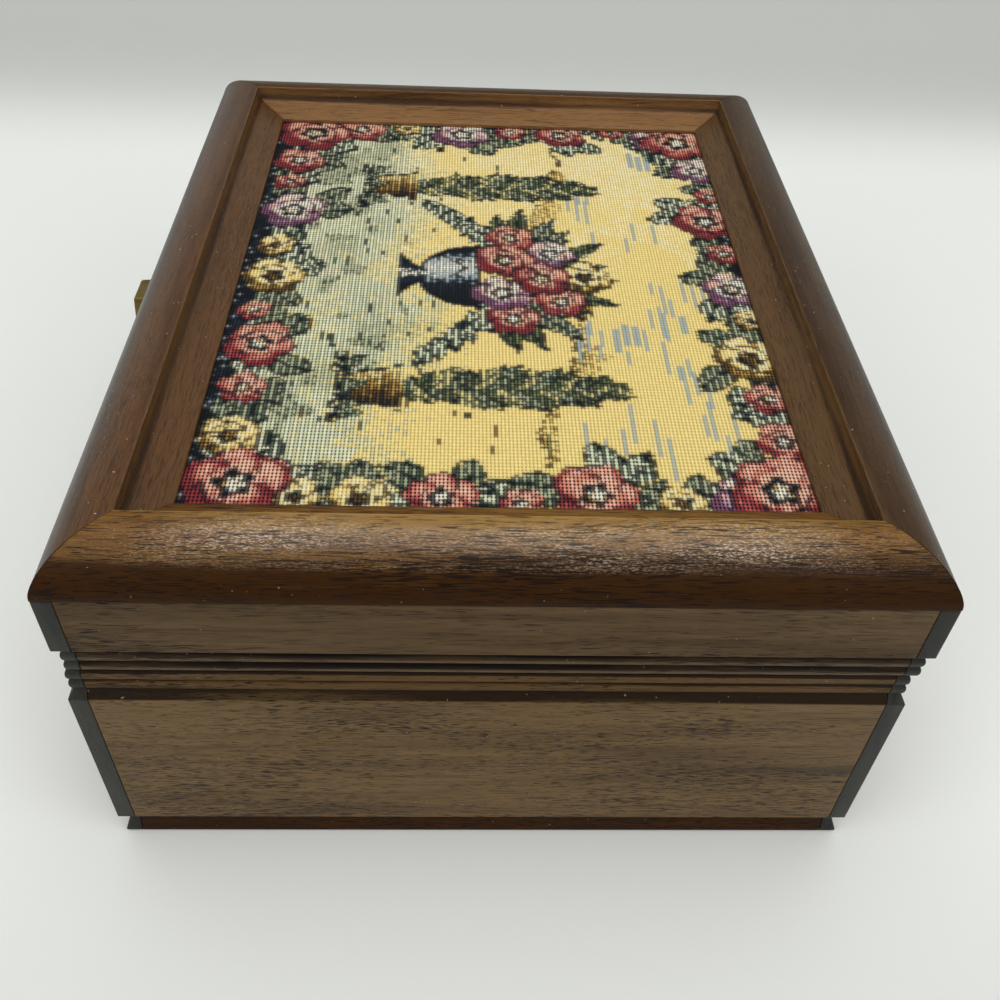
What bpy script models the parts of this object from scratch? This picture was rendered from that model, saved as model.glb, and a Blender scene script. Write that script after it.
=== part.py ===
import math

import bmesh
import bpy
from mathutils import Vector

# Musical keepsake box: a reeded hardwood case with a hinged lid, a mitred lid
# frame round a woven panel, a lined interior and an eighteen-note movement.
# Metres, +Z up. X runs along the long side, -Y is the front, the lid hinges are
# at +Y, and the origin lies under the middle of the box on the surface it stands on.

# Case, overall
case_length = 0.2507
case_depth = 0.203
plinth_height = 0.00865
panel_height = 0.0557
shoulder_height = 0.0028
reed_count = 2
base_reed_pitch = 0.0035
lid_reed_pitch = 0.0035
split_gap = 0.0005
lid_shoulder_height = 0.0019
lid_band_height = 0.0172
moulding_height = 0.0121

# Case, sections
wall = 0.008
corner_tongue = 0.00464
shoulder_inset = 0.0015
groove_inset = 0.0018
reed_depth = 0.0008
reed_segments = 6
step_slope = 0.0002
plinth_foot_inset = 0.0003
plinth_top_inset = 0.0033
plinth_foot_radius = 0.0009
plinth_foot_segments = 3
plinth_width = 0.016
bottom_thickness = 0.003
lid_outset = 0.0002
lid_set_back = 0.001

# Gaps between pieces
glue_gap = 0.0002
seat_gap = 0.0003
cut_overrun = 0.001
weld_distance = 0.000001

# Facets of round pieces and holes, and the angles below which faces shade smooth
small_sides = 12
shaft_sides = 16
arbor_sides = 20
board_hole_sides = 24
fine_angle = math.radians(12)
drum_angle = math.radians(20)
round_angle = math.radians(30)
soft_angle = math.radians(50)

# Lid frame moulding, measured in from the lid's outer face
bullnose_width = 0.0145
bullnose_power = 1.8
arris_inset = 0.0165
arris_drop = 0.0003
quirk_depth = 0.001
cove_width = 0.0039
cove_drop = 0.0042
cove_angle = math.radians(74)
slope_width = 0.0057
slope_drop = 0.0017
frame_width = 0.0262
lip_drop = 0.0077
lip_thickness = 0.001
rebate_inset = 0.021
bullnose_segments = 12
cove_segments = 6

# Woven panel, mirror and lid lining
cloth_thickness = 0.0008
cloth_crown = 0.0005
panel_board_thickness = 0.003
surround_thickness = 0.0026
mirror_thickness = 0.002
mirror_border = 0.034
mirror_bevel = 0.0006

# Lining and fittings
lining_thickness = 0.0015
lining_drop = 0.004
divider_thickness = 0.0025
divider_drop = 0.007
pad_thickness = 0.003
pad_crown = 0.0012
pad_crown_power = 4
pad_cells_across = 8
pad_cells_deep = 6
platform_thickness = 0.003
platform_top_height = 0.038
roll_count = 3
roll_radius = 0.0071
roll_gap = 0.0005
roll_flat_share = 0.82
roll_sides = 12
roll_stations = 8
roll_end_length = 0.006

# Hinges
hinge_length = 0.032
hinge_offset_share = 0.32
knuckle_radius = 0.0022
hinge_bore_radius = 0.0013
hinge_pin_radius = 0.00105
hinge_leaf_thickness = 0.0009
hinge_leaf_reach = 0.0095
knuckle_count = 3
knuckle_gap = 0.0004
hinge_pin_head_radius = 0.0019
hinge_pin_head_height = 0.0006

# Lid pull
pull_width = 0.0112
pull_face_width = 0.0096
pull_height = 0.012
pull_top_reach = 0.0052
pull_lip_reach = 0.0063
pull_neck_reach = 0.0032
pull_lip_height = 0.0016
pull_top_drop = 0.0037
pull_corner = 0.0006

# Movement: bedplate
bed_thickness = 0.003
bed_left_margin = 0.0009
bed_front_margin = 0.0002
bed_back_margin = 0.00126
bed_end_margin = 0.0006
bed_corner = 0.002
bed_corner_segments = 3

# Movement: spring barrel and winding
crown_teeth = 36
crown_module = 0.0006
crown_face = 0.0022
barrel_height = 0.0084
barrel_lift = 0.0005
barrel_groove_depth = 0.0008
barrel_groove_height = 0.0012
barrel_wall_below = 0.002
arbor_radius = 0.0017
arbor_clearance = 0.0004
arbor_pivot_radius = 0.001
arbor_pivot_length = 0.002
board_hole_radius = 0.003

# Movement: winding key under the bottom board
key_hub_radius = 0.003
key_floor_gap = 0.0014
key_board_gap = 0.0006
key_wing_reach = 0.0115
key_wing_thickness = 0.0016
key_wing_waist = 0.0036
key_wing_drop = 0.0008
key_bore_depth = 0.0028
wing_segments = 8

# Movement: cylinder and its wheels
pinion_teeth = 12
pinion_face = 0.002
shaft_radius = 0.001
shaft_clearance = 0.0003
cylinder_radius = 0.0065
cylinder_length = 0.019
cylinder_gap = 0.0005
cylinder_sides = 36
pin_height = 0.0005
pin_width = 0.00036
pin_root = 0.0003
pin_rows = 30
melody_step = 5
harmony_step = 11
harmony_start = 6
note_count = 18
note_pitch = 0.00095
gear_teeth = 40
gear_module = 0.0005
gear_gap = 0.0008
gear_face = 0.0015
upright_gap = 0.0007
upright_thickness = 0.0016
upright_front = 0.0035
upright_back = 0.0132
upright_rise = 0.003

# Movement: comb
comb_gap = 0.0003
comb_thickness = 0.0012
comb_body_depth = 0.007
comb_long_tooth = 0.0105
comb_short_tooth = 0.0078
comb_tooth_width = 0.0007
comb_margin = 0.0008
comb_screw_inset = 0.0034
screw_radius = 0.0011
screw_head_radius = 0.0021
screw_head_height = 0.0013
screw_dome_height_share = 1 / 3
screw_dome_radius_share = 0.7
screw_depth = 0.0035
screw_clearance = 0.0003
screw_slot = 0.0005

# Movement: idler and governor
idler_teeth = 10
idler_drop_angle = math.radians(35)
idler_radius = 0.0009
idler_face = 0.0021
worm_wheel_teeth = 16
worm_wheel_module = 0.00055
worm_wheel_face = 0.001
worm_wheel_reach = 0.0038
idler_bearing_gap = 0.0028
bearing_thickness = 0.0014
bearing_half_width = 0.0022
worm_radius = 0.0016
worm_turns = 2
worm_segments = 12
wheel_side_share = 3 / 4
worm_shaft_radius = 0.0008
worm_pivot_radius = 0.0005
worm_pivot_depth = 0.001
fan_radius = 0.0055
fan_height = 0.0035
fan_blade = 0.0005
fan_hub_radius = 0.0019
fan_hub_segments = 6
fan_rise = 0.013
bracket_thickness = 0.0013
bracket_half_depth = 0.0023
bracket_height = 0.0213
bracket_clearance = 0.0005

# Movement: bridge over the barrel
bridge_thickness = 0.0012
bridge_half_width = 0.0032
bridge_leg_gap = 0.0008
bridge_foot = 0.0028
bridge_rise = 0.0005
bridge_ear_half_width = 0.0024
bridge_ear_rise = 0.0024

# Movement: stop wire and dust hood
wire_radius = 0.0006
wire_fan_gap = 0.0004
wire_overlap = 0.003
wire_guide_clearance = 0.0003
wire_sides = 10
hood_wall = 0.0012
hood_clearance = 0.0012
hood_headroom = 0.0022
hood_wire_hole_radius = 0.0015

# Gear teeth: shares of the pitch for widths, of the module for heights
tooth_tip_share = 0.22
tooth_root_share = 0.62
addendum_share = 0.8
dedendum_share = 1.1
thread_crest_share = 0.13
thread_root_share = 0.34

# Worked out: levels
panel_top = plinth_height + panel_height
shoulder_top = panel_top + shoulder_height
base_top = shoulder_top + reed_count * base_reed_pitch
lid_bottom = base_top + split_gap
lid_reed_top = lid_bottom + reed_count * lid_reed_pitch
lid_band_low = lid_reed_top + lid_shoulder_height
lid_band_top = lid_band_low + lid_band_height
lid_top = lid_band_top + moulding_height
bottom_low = plinth_height + seat_gap
floor_top = bottom_low + bottom_thickness
fit_floor = floor_top + seat_gap

# Worked out: plan
half_length = case_length / 2
half_depth = case_depth / 2
lid_half_length = half_length + lid_outset
lid_half_depth = half_depth + lid_outset
wall_inner_x = half_length - wall - seat_gap
wall_inner_y = half_depth - wall - seat_gap
inner_x = wall_inner_x - lining_thickness - seat_gap
inner_y = wall_inner_y - lining_thickness - seat_gap

# Worked out: hinge axis, just behind the lid's reeds
hinge_y = lid_set_back + lid_half_depth - groove_inset + reed_depth + knuckle_radius + seat_gap
hinge_z = base_top + split_gap / 2

# Worked out: movement, in plan from the barrel's axis and up from the bedplate
crown_radius = crown_teeth * crown_module / 2
crown_inner = crown_radius - crown_face / 2
crown_outer = crown_radius + crown_face / 2
pinion_radius = pinion_teeth * crown_module / 2
gear_radius = gear_teeth * gear_module / 2
idler_pitch_radius = idler_teeth * gear_module / 2
worm_wheel_radius = worm_wheel_teeth * worm_wheel_module / 2
cylinder_start = crown_outer + cylinder_gap
cylinder_end = cylinder_start + cylinder_length
gear_start = cylinder_end + gear_gap
gear_end = gear_start + gear_face
upright_start = gear_end + upright_gap
upright_end = upright_start + upright_thickness
cylinder_reach = cylinder_radius + pin_height
comb_reach = cylinder_reach + comb_gap + comb_long_tooth + comb_body_depth
idler_distance = gear_radius + idler_pitch_radius
idler_reach = idler_distance * math.cos(idler_drop_angle)
worm_reach = idler_reach + worm_wheel_radius + worm_radius
wire_reach = worm_reach + fan_radius + wire_fan_gap + wire_radius
bed_left_reach = crown_outer + bed_left_margin
bed_right_reach = upright_end + bed_end_margin
bed_front_reach = comb_reach + bed_front_margin
bed_back_reach = wire_reach + bed_back_margin
bed_length = bed_left_reach + bed_right_reach
bed_depth = bed_front_reach + bed_back_reach
hood_length = bed_length + 2 * (hood_wall + hood_clearance)
hood_depth = bed_depth + 2 * (hood_wall + hood_clearance)
barrel_x = inner_x - hood_wall - hood_clearance - bed_right_reach
train_y = inner_y - hood_wall - hood_clearance - bed_back_reach
bed_low = fit_floor
bed_top = bed_low + bed_thickness
barrel_low = bed_top + barrel_lift
barrel_top = barrel_low + barrel_height
crown_pitch_z = barrel_top + dedendum_share * crown_module
cylinder_z = crown_pitch_z + pinion_radius
idler_y = train_y + idler_reach
idler_z = cylinder_z - idler_distance * math.sin(idler_drop_angle)
worm_x = barrel_x + cylinder_end - worm_wheel_reach
worm_y = train_y + worm_reach
worm_lead = math.pi * worm_wheel_module
wire_y = train_y + wire_reach
hood_inner_top = cylinder_z + gear_radius + gear_module + hood_headroom

# Worked out: dividers
movement_divider_y = inner_y - hood_depth - seat_gap
cross_divider_x = inner_x - hood_length - seat_gap
divider_top = base_top - divider_drop
roll_pitch = 2 * roll_radius + roll_gap
ring_bay_depth = roll_count * roll_pitch + roll_gap
ring_divider_y = inner_y - ring_bay_depth - seat_gap

# Worked out: inside of the lid, from the lip down
lip_top = lid_top - lip_drop
lip_low = lip_top - lip_thickness
cloth_low = lip_low - glue_gap - cloth_thickness
panel_board_top = cloth_low - seat_gap
panel_board_low = panel_board_top - panel_board_thickness
surround_top = panel_board_low - seat_gap
surround_low = surround_top - surround_thickness


def start_scene():
    """Empties the scene, so that the model is all that it holds."""
    for old in list(bpy.data.objects):
        bpy.data.objects.remove(old, do_unlink=True)


def finish(name, colour, roughness, metallic=0.0, alpha=1.0):
    """A Principled material."""
    material = bpy.data.materials.new(name)
    material.use_nodes = True
    shader = material.node_tree.nodes["Principled BSDF"]
    shader.inputs["Base Color"].default_value = (*colour, 1.0)
    shader.inputs["Roughness"].default_value = roughness
    shader.inputs["Metallic"].default_value = metallic
    shader.inputs["Alpha"].default_value = alpha
    material.diffuse_color = (*colour, alpha)
    return material


def joint_axis(name, place):
    """An empty on the axis of a moving body, which carries the body's pieces."""
    empty = bpy.data.objects.new(name, None)
    empty.location = place
    bpy.context.collection.objects.link(empty)
    return empty


def piece(name, bm, material, axis=None, smooth=None):
    """An object from a bmesh in world places, hung from its joint axis if it has one."""
    bmesh.ops.remove_doubles(bm, verts=bm.verts, dist=weld_distance)
    bmesh.ops.recalc_face_normals(bm, faces=bm.faces)
    if axis is not None:
        bmesh.ops.translate(bm, verts=bm.verts, vec=-axis.location)
    mesh = bpy.data.meshes.new(name)
    bm.to_mesh(mesh)
    bm.free()
    mesh.materials.append(material)
    if smooth is not None:
        mesh.shade_smooth()
        mesh.set_sharp_from_angle(angle=smooth)
    made = bpy.data.objects.new(name, mesh)
    bpy.context.collection.objects.link(made)
    made.parent = axis
    return made


def combine(target, name, bm, operation, axis=None):
    """Cuts or joins a guide shape into a piece with an exact Boolean."""
    guide = piece(name, bm, target.data.materials[0], axis)
    guide.hide_render = True
    guide.display_type = "WIRE"
    step = target.modifiers.new(name, "BOOLEAN")
    step.operation = operation
    step.solver = "EXACT"
    step.object = guide


def cut(target, name, bm, axis=None):
    combine(target, name, bm, "DIFFERENCE", axis)


def add(target, name, bm, axis=None):
    combine(target, name, bm, "UNION", axis)


def loft(rings, closed=False, bm=None):
    """Skins rings of equal point counts, with flat ends unless the rings close on themselves."""
    bm = bm or bmesh.new()
    rows = [[bm.verts.new(point) for point in ring] for ring in rings]
    pairs = list(zip(rows, rows[1:] + rows[:1])) if closed else list(zip(rows, rows[1:]))
    for low, high in pairs:
        for i in range(len(low)):
            j = (i + 1) % len(low)
            bm.faces.new((low[i], low[j], high[j], high[i]))
    if not closed:
        bm.faces.new(rows[0])
        bm.faces.new(rows[-1])
    return bm


def along(axis, a, b, h):
    """A point from its two places across an axis and its place along it."""
    return {"X": (h, a, b), "Y": (a, h, b), "Z": (a, b, h)}[axis]


def prism(outline, low, high, axis, bm=None):
    """An outline extruded along an axis."""
    rings = [[along(axis, a, b, h) for a, b in outline] for h in (low, high)]
    return loft(rings, bm=bm)


def circle(radius, sides, turn=0.0):
    steps = [turn + 2 * math.pi * i / sides for i in range(sides)]
    return [(radius * math.cos(t), radius * math.sin(t)) for t in steps]


def shifted(outline, a, b):
    return [(a + p, b + q) for p, q in outline]


def rectangle(a_low, a_high, b_low, b_high):
    return [(a_low, b_low), (a_high, b_low), (a_high, b_high), (a_low, b_high)]


def turned(profile, sides, axis, centre, closed=False, bm=None):
    """A profile of (radius, place along the axis) turned about that axis through (a, b)."""
    rings = []
    for radius, h in profile:
        rings.append([along(axis, a, b, h) for a, b in shifted(circle(radius, sides), *centre)])
    return loft(rings, closed, bm)


def box(low, high, bm=None):
    outline = rectangle(low[0], high[0], low[1], high[1])
    return prism(outline, low[2], high[2], "Z", bm)


def reeds(low, pitch, groove):
    """Points (height, inset) of the half-round reeds, from one groove to the next."""
    points = []
    for reed in range(reed_count):
        middle = low + (reed + 1 / 2) * pitch
        for step in range(reed_segments + 1):
            angle = math.pi * (step / reed_segments - 1 / 2)
            height = middle + pitch / 2 * math.sin(angle)
            points.append((height, groove - reed_depth * math.cos(angle)))
            if reed and not step:
                points.pop()
    return points


def long_wall(name, rows, half_x, half_y, middle_y, side, thickness, material, axis=None):
    """A front or back board: full length, with a rabbet at each end for the end board."""
    rings = []
    for height, inset in rows:
        outline = [
            (inset - half_x, inset - half_y),
            (half_x - inset, inset - half_y),
            (half_x - inset, corner_tongue - half_y),
            (half_x - thickness, corner_tongue - half_y),
            (half_x - thickness, thickness - half_y),
            (thickness - half_x, thickness - half_y),
            (thickness - half_x, corner_tongue - half_y),
            (inset - half_x, corner_tongue - half_y),
        ]
        rings.append([(x, middle_y - side * y, height) for x, y in outline])
    return piece(name, loft(rings), material, axis)


def end_wall(name, rows, half_x, half_y, middle_y, side, thickness, material, axis=None):
    """An end board, seated in the rabbets between the front and back boards."""
    across = half_y - corner_tongue - glue_gap
    rings = []
    for height, inset in rows:
        outline = rectangle(half_x - thickness + glue_gap, half_x - inset, -across, across)
        rings.append([(side * x, middle_y + y, height) for x, y in outline])
    return piece(name, loft(rings), material, axis)


def wall_set(stem, rows, half_x, half_y, middle_y, thickness, material, axis=None):
    """The four boards of a rectangular frame that share one milled section."""
    plan = half_x, half_y, middle_y
    walls = {}
    for side, word in ((-1, "_front"), (1, "_back")):
        walls[word] = long_wall(stem + word, rows, *plan, side, thickness, material, axis)
    for side, word in ((-1, "_left"), (1, "_right")):
        walls[word] = end_wall(stem + word, rows, *plan, side, thickness, material, axis)
    return walls


def moulding_section():
    """Points (inset, height) round the lid frame's section, from its outer foot up and over."""
    low = lid_band_top + glue_gap
    points = [(0, low)]
    for step in range(bullnose_segments + 1):
        angle = math.pi / 2 * step / bullnose_segments
        across = 1 - math.cos(angle) ** (2 / bullnose_power)
        rise = math.sin(angle) ** (2 / bullnose_power)
        points.append((bullnose_width * across, low + (moulding_height - glue_gap) * rise))
    points.pop(1)
    arris = lid_top - arris_drop
    points.append((arris_inset, arris))
    cove_top = arris - quirk_depth
    for step in range(cove_segments + 1):
        angle = cove_angle * step / cove_segments
        inset = arris_inset + cove_width * (1 - math.cos(angle))
        height = cove_top - cove_drop * math.sin(angle)
        points.append((inset, height))
    points.append((inset + slope_width, height - slope_drop))
    points.append((frame_width, lip_top))
    points.append((frame_width, lip_low))
    points.append((rebate_inset, lip_low))
    points.append((rebate_inset, low))
    return points


def frame_strip(name, section, along_x, side, material, axis):
    """One mitred strip: its section carried along a side and cut at 45 degrees at both ends."""
    long_half = lid_half_length if along_x else lid_half_depth
    wide_half = lid_half_depth if along_x else lid_half_length
    rings = []
    for end in (-1, 1):
        ring = []
        for inset, height in section:
            a = end * (long_half - inset - glue_gap)
            b = side * (wide_half - inset)
            x, y = (a, b) if along_x else (b, a)
            ring.append((x, y + lid_set_back, height))
        rings.append(ring)
    piece(name, loft(rings), material, axis)


def crowned_pad(name, low, high, crown, material, axis=None):
    """A flat-bottomed pad whose top swells by the crown between its edges."""
    across, deep = pad_cells_across, pad_cells_deep
    bm = bmesh.new()
    top = []
    for j in range(deep + 1):
        for i in range(across + 1):
            u = 2 * i / across - 1
            v = 2 * j / deep - 1
            x = (low[0] + high[0]) / 2 + u * (high[0] - low[0]) / 2
            y = (low[1] + high[1]) / 2 + v * (high[1] - low[1]) / 2
            swell = (1 - u**pad_crown_power) * (1 - v**pad_crown_power)
            top.append(bm.verts.new((x, y, high[2] + crown * swell)))
    for j in range(deep):
        for i in range(across):
            k = j * (across + 1) + i
            bm.faces.new((top[k], top[k + 1], top[k + across + 2], top[k + across + 1]))
    rim = [edge for edge in bm.edges if edge.is_boundary]
    grown = bmesh.ops.extrude_edge_only(bm, edges=rim)["geom"]
    for vert in (g for g in grown if isinstance(g, bmesh.types.BMVert)):
        vert.co.z = low[2]
    foot = [g for g in grown if isinstance(g, bmesh.types.BMEdge) and g.is_boundary]
    bmesh.ops.contextual_create(bm, geom=foot)
    piece(name, bm, material, axis, smooth=soft_angle)


def make_case(wood):
    """The base: plinth strips, milled boards and the bottom board."""
    plinth = []
    for step in range(plinth_foot_segments + 1):
        angle = math.pi / 2 * step / plinth_foot_segments
        height = plinth_foot_radius * (1 - math.cos(angle))
        plinth.append((height, plinth_foot_inset + plinth_foot_radius * (1 - math.sin(angle))))
    plinth.append((plinth_height, plinth_top_inset))
    wall_set("plinth", plinth, half_length, half_depth, 0, plinth_width, wood)

    rows = [(plinth_height + glue_gap, 0), (panel_top, 0)]
    rows.append((shoulder_top - step_slope, shoulder_inset))
    rows += reeds(shoulder_top, base_reed_pitch, groove_inset)
    walls = wall_set("base", rows, half_length, half_depth, 0, wall, wood)

    board = box((-wall_inner_x, -wall_inner_y, bottom_low), (wall_inner_x, wall_inner_y, floor_top))
    bottom = piece("bottom_board", board, wood)
    low, high = bottom_low - cut_overrun, floor_top + cut_overrun
    hole = shifted(circle(board_hole_radius, board_hole_sides), barrel_x, train_y)
    cut(bottom, "key_hole", prism(hole, low, high, "Z"))
    return walls


def make_lid(wood, cloth, board, glass, velvet, axis):
    """The lid: milled rails, mitred frame, woven panel on its board, mirror and surround."""
    rows = reeds(lid_bottom, lid_reed_pitch, groove_inset)
    rows += [(lid_reed_top + step_slope, shoulder_inset), (lid_band_low, 0), (lid_band_top, 0)]
    plan = lid_half_length, lid_half_depth, lid_set_back
    walls = wall_set("lid", rows, *plan, wall, wood, axis)
    section = moulding_section()
    for name, along_x, side in (
        ("frame_front", True, -1),
        ("frame_back", True, 1),
        ("frame_left", False, -1),
        ("frame_right", False, 1),
    ):
        frame_strip(name, section, along_x, side, wood, axis)

    reach_x = lid_half_length - rebate_inset - seat_gap
    reach_y = lid_half_depth - rebate_inset - seat_gap
    back, front = lid_set_back + reach_y, lid_set_back - reach_y
    low, high = (-reach_x, front, cloth_low), (reach_x, back, cloth_low + cloth_thickness)
    crowned_pad("woven_panel", low, high, cloth_crown, cloth, axis)
    low, high = (-reach_x, front, panel_board_low), (reach_x, back, panel_board_top)
    piece("panel_board", box(low, high), board, axis)

    inside_x = lid_half_length - wall - seat_gap
    inside_y = lid_half_depth - wall - seat_gap
    low = (-inside_x, lid_set_back - inside_y, surround_low)
    high = (inside_x, lid_set_back + inside_y, surround_top)
    surround = piece("mirror_surround", box(low, high), velvet, axis)
    open_x, open_y = inside_x - mirror_border, inside_y - mirror_border
    low = (-open_x, lid_set_back - open_y, surround_low - cut_overrun)
    high = (open_x, lid_set_back + open_y, surround_top + cut_overrun)
    cut(surround, "mirror_opening", box(low, high), axis)
    half_x, half_y = open_x - seat_gap, open_y - seat_gap
    rings = []
    for inset, height in (
        (0, surround_top),
        (0, surround_top - mirror_thickness + mirror_bevel),
        (mirror_bevel, surround_top - mirror_thickness),
    ):
        outline = rectangle(inset - half_x, half_x - inset, inset - half_y, half_y - inset)
        rings.append([(x, lid_set_back + y, height) for x, y in outline])
    piece("mirror", loft(rings), glass, axis)
    return walls


def make_interior(velvet, board, roll_cloth):
    """Lining boards, dividers, floor pads, and the ring rolls on their platform."""
    lining_top = base_top - lining_drop
    for side, word in ((-1, "front"), (1, "back")):
        ys = sorted((side * wall_inner_y, side * (wall_inner_y - lining_thickness)))
        low, high = (-wall_inner_x, ys[0], fit_floor), (wall_inner_x, ys[1], lining_top)
        piece("lining_" + word, box(low, high), velvet)
    for side, word in ((-1, "left"), (1, "right")):
        xs = sorted((side * wall_inner_x, side * (wall_inner_x - lining_thickness)))
        low, high = (xs[0], -inner_y, fit_floor), (xs[1], inner_y, lining_top)
        piece("lining_" + word, box(low, high), velvet)

    cross_low = cross_divider_x - divider_thickness
    low, high = (cross_low, -inner_y, fit_floor), (cross_divider_x, inner_y, divider_top)
    piece("cross_divider", box(low, high), velvet)
    y_low = movement_divider_y - divider_thickness
    low = (cross_divider_x + seat_gap, y_low, fit_floor)
    piece("movement_divider", box(low, (inner_x, movement_divider_y, divider_top)), velvet)
    ring_low = ring_divider_y - divider_thickness
    bay_right = cross_low - seat_gap
    low, high = (-inner_x, ring_low, fit_floor), (bay_right, ring_divider_y, divider_top)
    piece("ring_divider", box(low, high), velvet)

    pad_top = fit_floor + pad_thickness
    low, high = (-inner_x, -inner_y, fit_floor), (bay_right, ring_low - seat_gap, pad_top)
    crowned_pad("main_floor_pad", low, high, pad_crown, velvet)
    low = (cross_divider_x + seat_gap, -inner_y, fit_floor)
    crowned_pad("side_floor_pad", low, (inner_x, y_low - seat_gap, pad_top), pad_crown, velvet)

    front, back = ring_divider_y + seat_gap, inner_y
    top = fit_floor + platform_top_height
    inside = top - platform_thickness
    channel = [
        (front, fit_floor),
        (front + platform_thickness, fit_floor),
        (front + platform_thickness, inside),
        (back - platform_thickness, inside),
        (back - platform_thickness, fit_floor),
        (back, fit_floor),
        (back, top),
        (front, top),
    ]
    platform = prism(channel, -inner_x, bay_right, "X")
    piece("ring_platform", platform, board)
    for roll in range(roll_count):
        middle = ring_divider_y + roll_gap + (roll + 1 / 2) * roll_pitch
        ring_roll(f"ring_roll_{roll + 1}", -inner_x, bay_right, middle, top + seat_gap, roll_cloth)


def ring_roll(name, left, right, y, low, material):
    """A long round roll, flat where it rests, with rounded ends."""
    stations = [(left, 1 / 2)]
    for step in range(1, roll_stations):
        share = step / roll_stations
        stations.append((left + roll_end_length * share**2, math.sin(math.pi * (1 + share) / 4)))
    stations += [(left + right - x, size) for x, size in reversed(stations)]
    centre = low + roll_radius * roll_flat_share
    rings = []
    for x, size in stations:
        ring = []
        for a, b in circle(roll_radius * size, roll_sides):
            ring.append((x, y + a, max(centre + b, low)))
        rings.append(ring)
    piece(name, loft(rings), material, smooth=soft_angle)


def make_hinge(word, middle, brass, steel, lid_axis):
    """A butt hinge let into the back boards: two leaves with rolled knuckles, and their pin."""
    low, high = middle - hinge_length / 2, middle + hinge_length / 2
    knuckle = hinge_length / knuckle_count
    inner_edge = hinge_y - hinge_leaf_reach
    for word_end, side, axis in (("_lower", -1, None), ("_upper", 1, lid_axis)):
        near = hinge_z + side * split_gap / 2
        zs = sorted((near, near + side * hinge_leaf_thickness))
        name = "hinge_" + word + word_end
        barrel = shifted(circle(knuckle_radius, arbor_sides), hinge_y, hinge_z)
        leaf = piece(name, prism(barrel, low, high, "X"), brass, axis, smooth=round_angle)
        plate = rectangle(inner_edge, hinge_y, *zs)
        add(leaf, name + "_plate", prism(plate, low, high, "X"), axis)
        bore = shifted(circle(hinge_bore_radius, shaft_sides), hinge_y, hinge_z)
        bore_ends = low - cut_overrun, high + cut_overrun
        cut(leaf, name + "_bore", prism(bore, *bore_ends, "X"), axis)
        reach = knuckle_radius + cut_overrun
        notch = rectangle(hinge_y - knuckle_radius - knuckle_gap, hinge_y + reach,
                          hinge_z - reach, hinge_z + reach)
        taken = [k for k in range(knuckle_count) if (k % 2 == 0) == (side == 1)]
        for k in taken:
            ends = [low + k * knuckle - knuckle_gap / 2, low + (k + 1) * knuckle + knuckle_gap / 2]
            if k == 0:
                ends[0] = low - cut_overrun
            if k == knuckle_count - 1:
                ends[1] = high + cut_overrun
            cut(leaf, f"{name}_notch_{k + 1}", prism(notch, *ends, "X"), axis)
    head = hinge_pin_head_height + knuckle_gap
    pin = [
        (hinge_pin_head_radius, low - head),
        (hinge_pin_head_radius, low - knuckle_gap),
        (hinge_pin_radius, low - knuckle_gap),
        (hinge_pin_radius, high + knuckle_gap),
        (hinge_pin_head_radius, high + knuckle_gap),
        (hinge_pin_head_radius, high + head),
    ]
    made = turned(pin, shaft_sides, "X", (hinge_y, hinge_z))
    piece("hinge_" + word + "_pin", made, steel, smooth=round_angle)


def let_in_hinges(middles, base_back, lid_back, lid_axis):
    """Recesses in both back boards for the hinge leaves."""
    for k, middle in enumerate(middles):
        for board, side, axis in ((base_back, -1, None), (lid_back, 1, lid_axis)):
            near = hinge_z + side * split_gap / 2
            depth = near + side * (hinge_leaf_thickness + seat_gap)
            zs = sorted((near - side * cut_overrun, depth))
            half = hinge_length / 2 + seat_gap
            low = (middle - half, hinge_y - hinge_leaf_reach - seat_gap, zs[0])
            high = (middle + half, hinge_y + knuckle_radius, zs[1])
            cut(board, f"{board.name}_recess_{k + 1}", box(low, high), axis)


def make_pull(brass, axis):
    """The cast pull on the lid's front band: tapered, with a lip under it for a finger."""
    back = lid_set_back - lid_half_depth - seat_gap
    high = lid_band_top - pull_top_drop
    low = high - pull_height
    body_front = -half_depth
    side = [
        (back, low),
        (back, high),
        (body_front - pull_top_reach + pull_corner, high),
        (body_front - pull_top_reach, high - pull_corner),
        (body_front - pull_lip_reach, low + pull_lip_height),
        (body_front - pull_lip_reach + pull_corner, low),
        (body_front - pull_neck_reach, low + pull_lip_height),
    ]
    rings = []
    for end in (-1, 1):
        ring = []
        for y, z in side:
            share = (back - y) / (back - body_front + pull_lip_reach)
            half = (pull_width + (pull_face_width - pull_width) * share) / 2
            ring.append((end * half, y, z))
        rings.append(ring)
    piece("lid_pull", loft(rings), brass, axis)


def gear_outline(teeth, module, turn=0.0):
    """Straight-flanked teeth, with a tooth centred on the given angle."""
    pitch = 2 * math.pi / teeth
    radius = teeth * module / 2
    root, tip = radius - dedendum_share * module, radius + addendum_share * module
    points = []
    for tooth in range(teeth):
        centre = turn + tooth * pitch
        for r, share in (
            (root, -tooth_root_share),
            (tip, -tooth_tip_share),
            (tip, tooth_tip_share),
            (root, tooth_root_share),
        ):
            angle = centre + share * pitch / 2
            points.append((r * math.cos(angle), r * math.sin(angle)))
    return points


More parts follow.
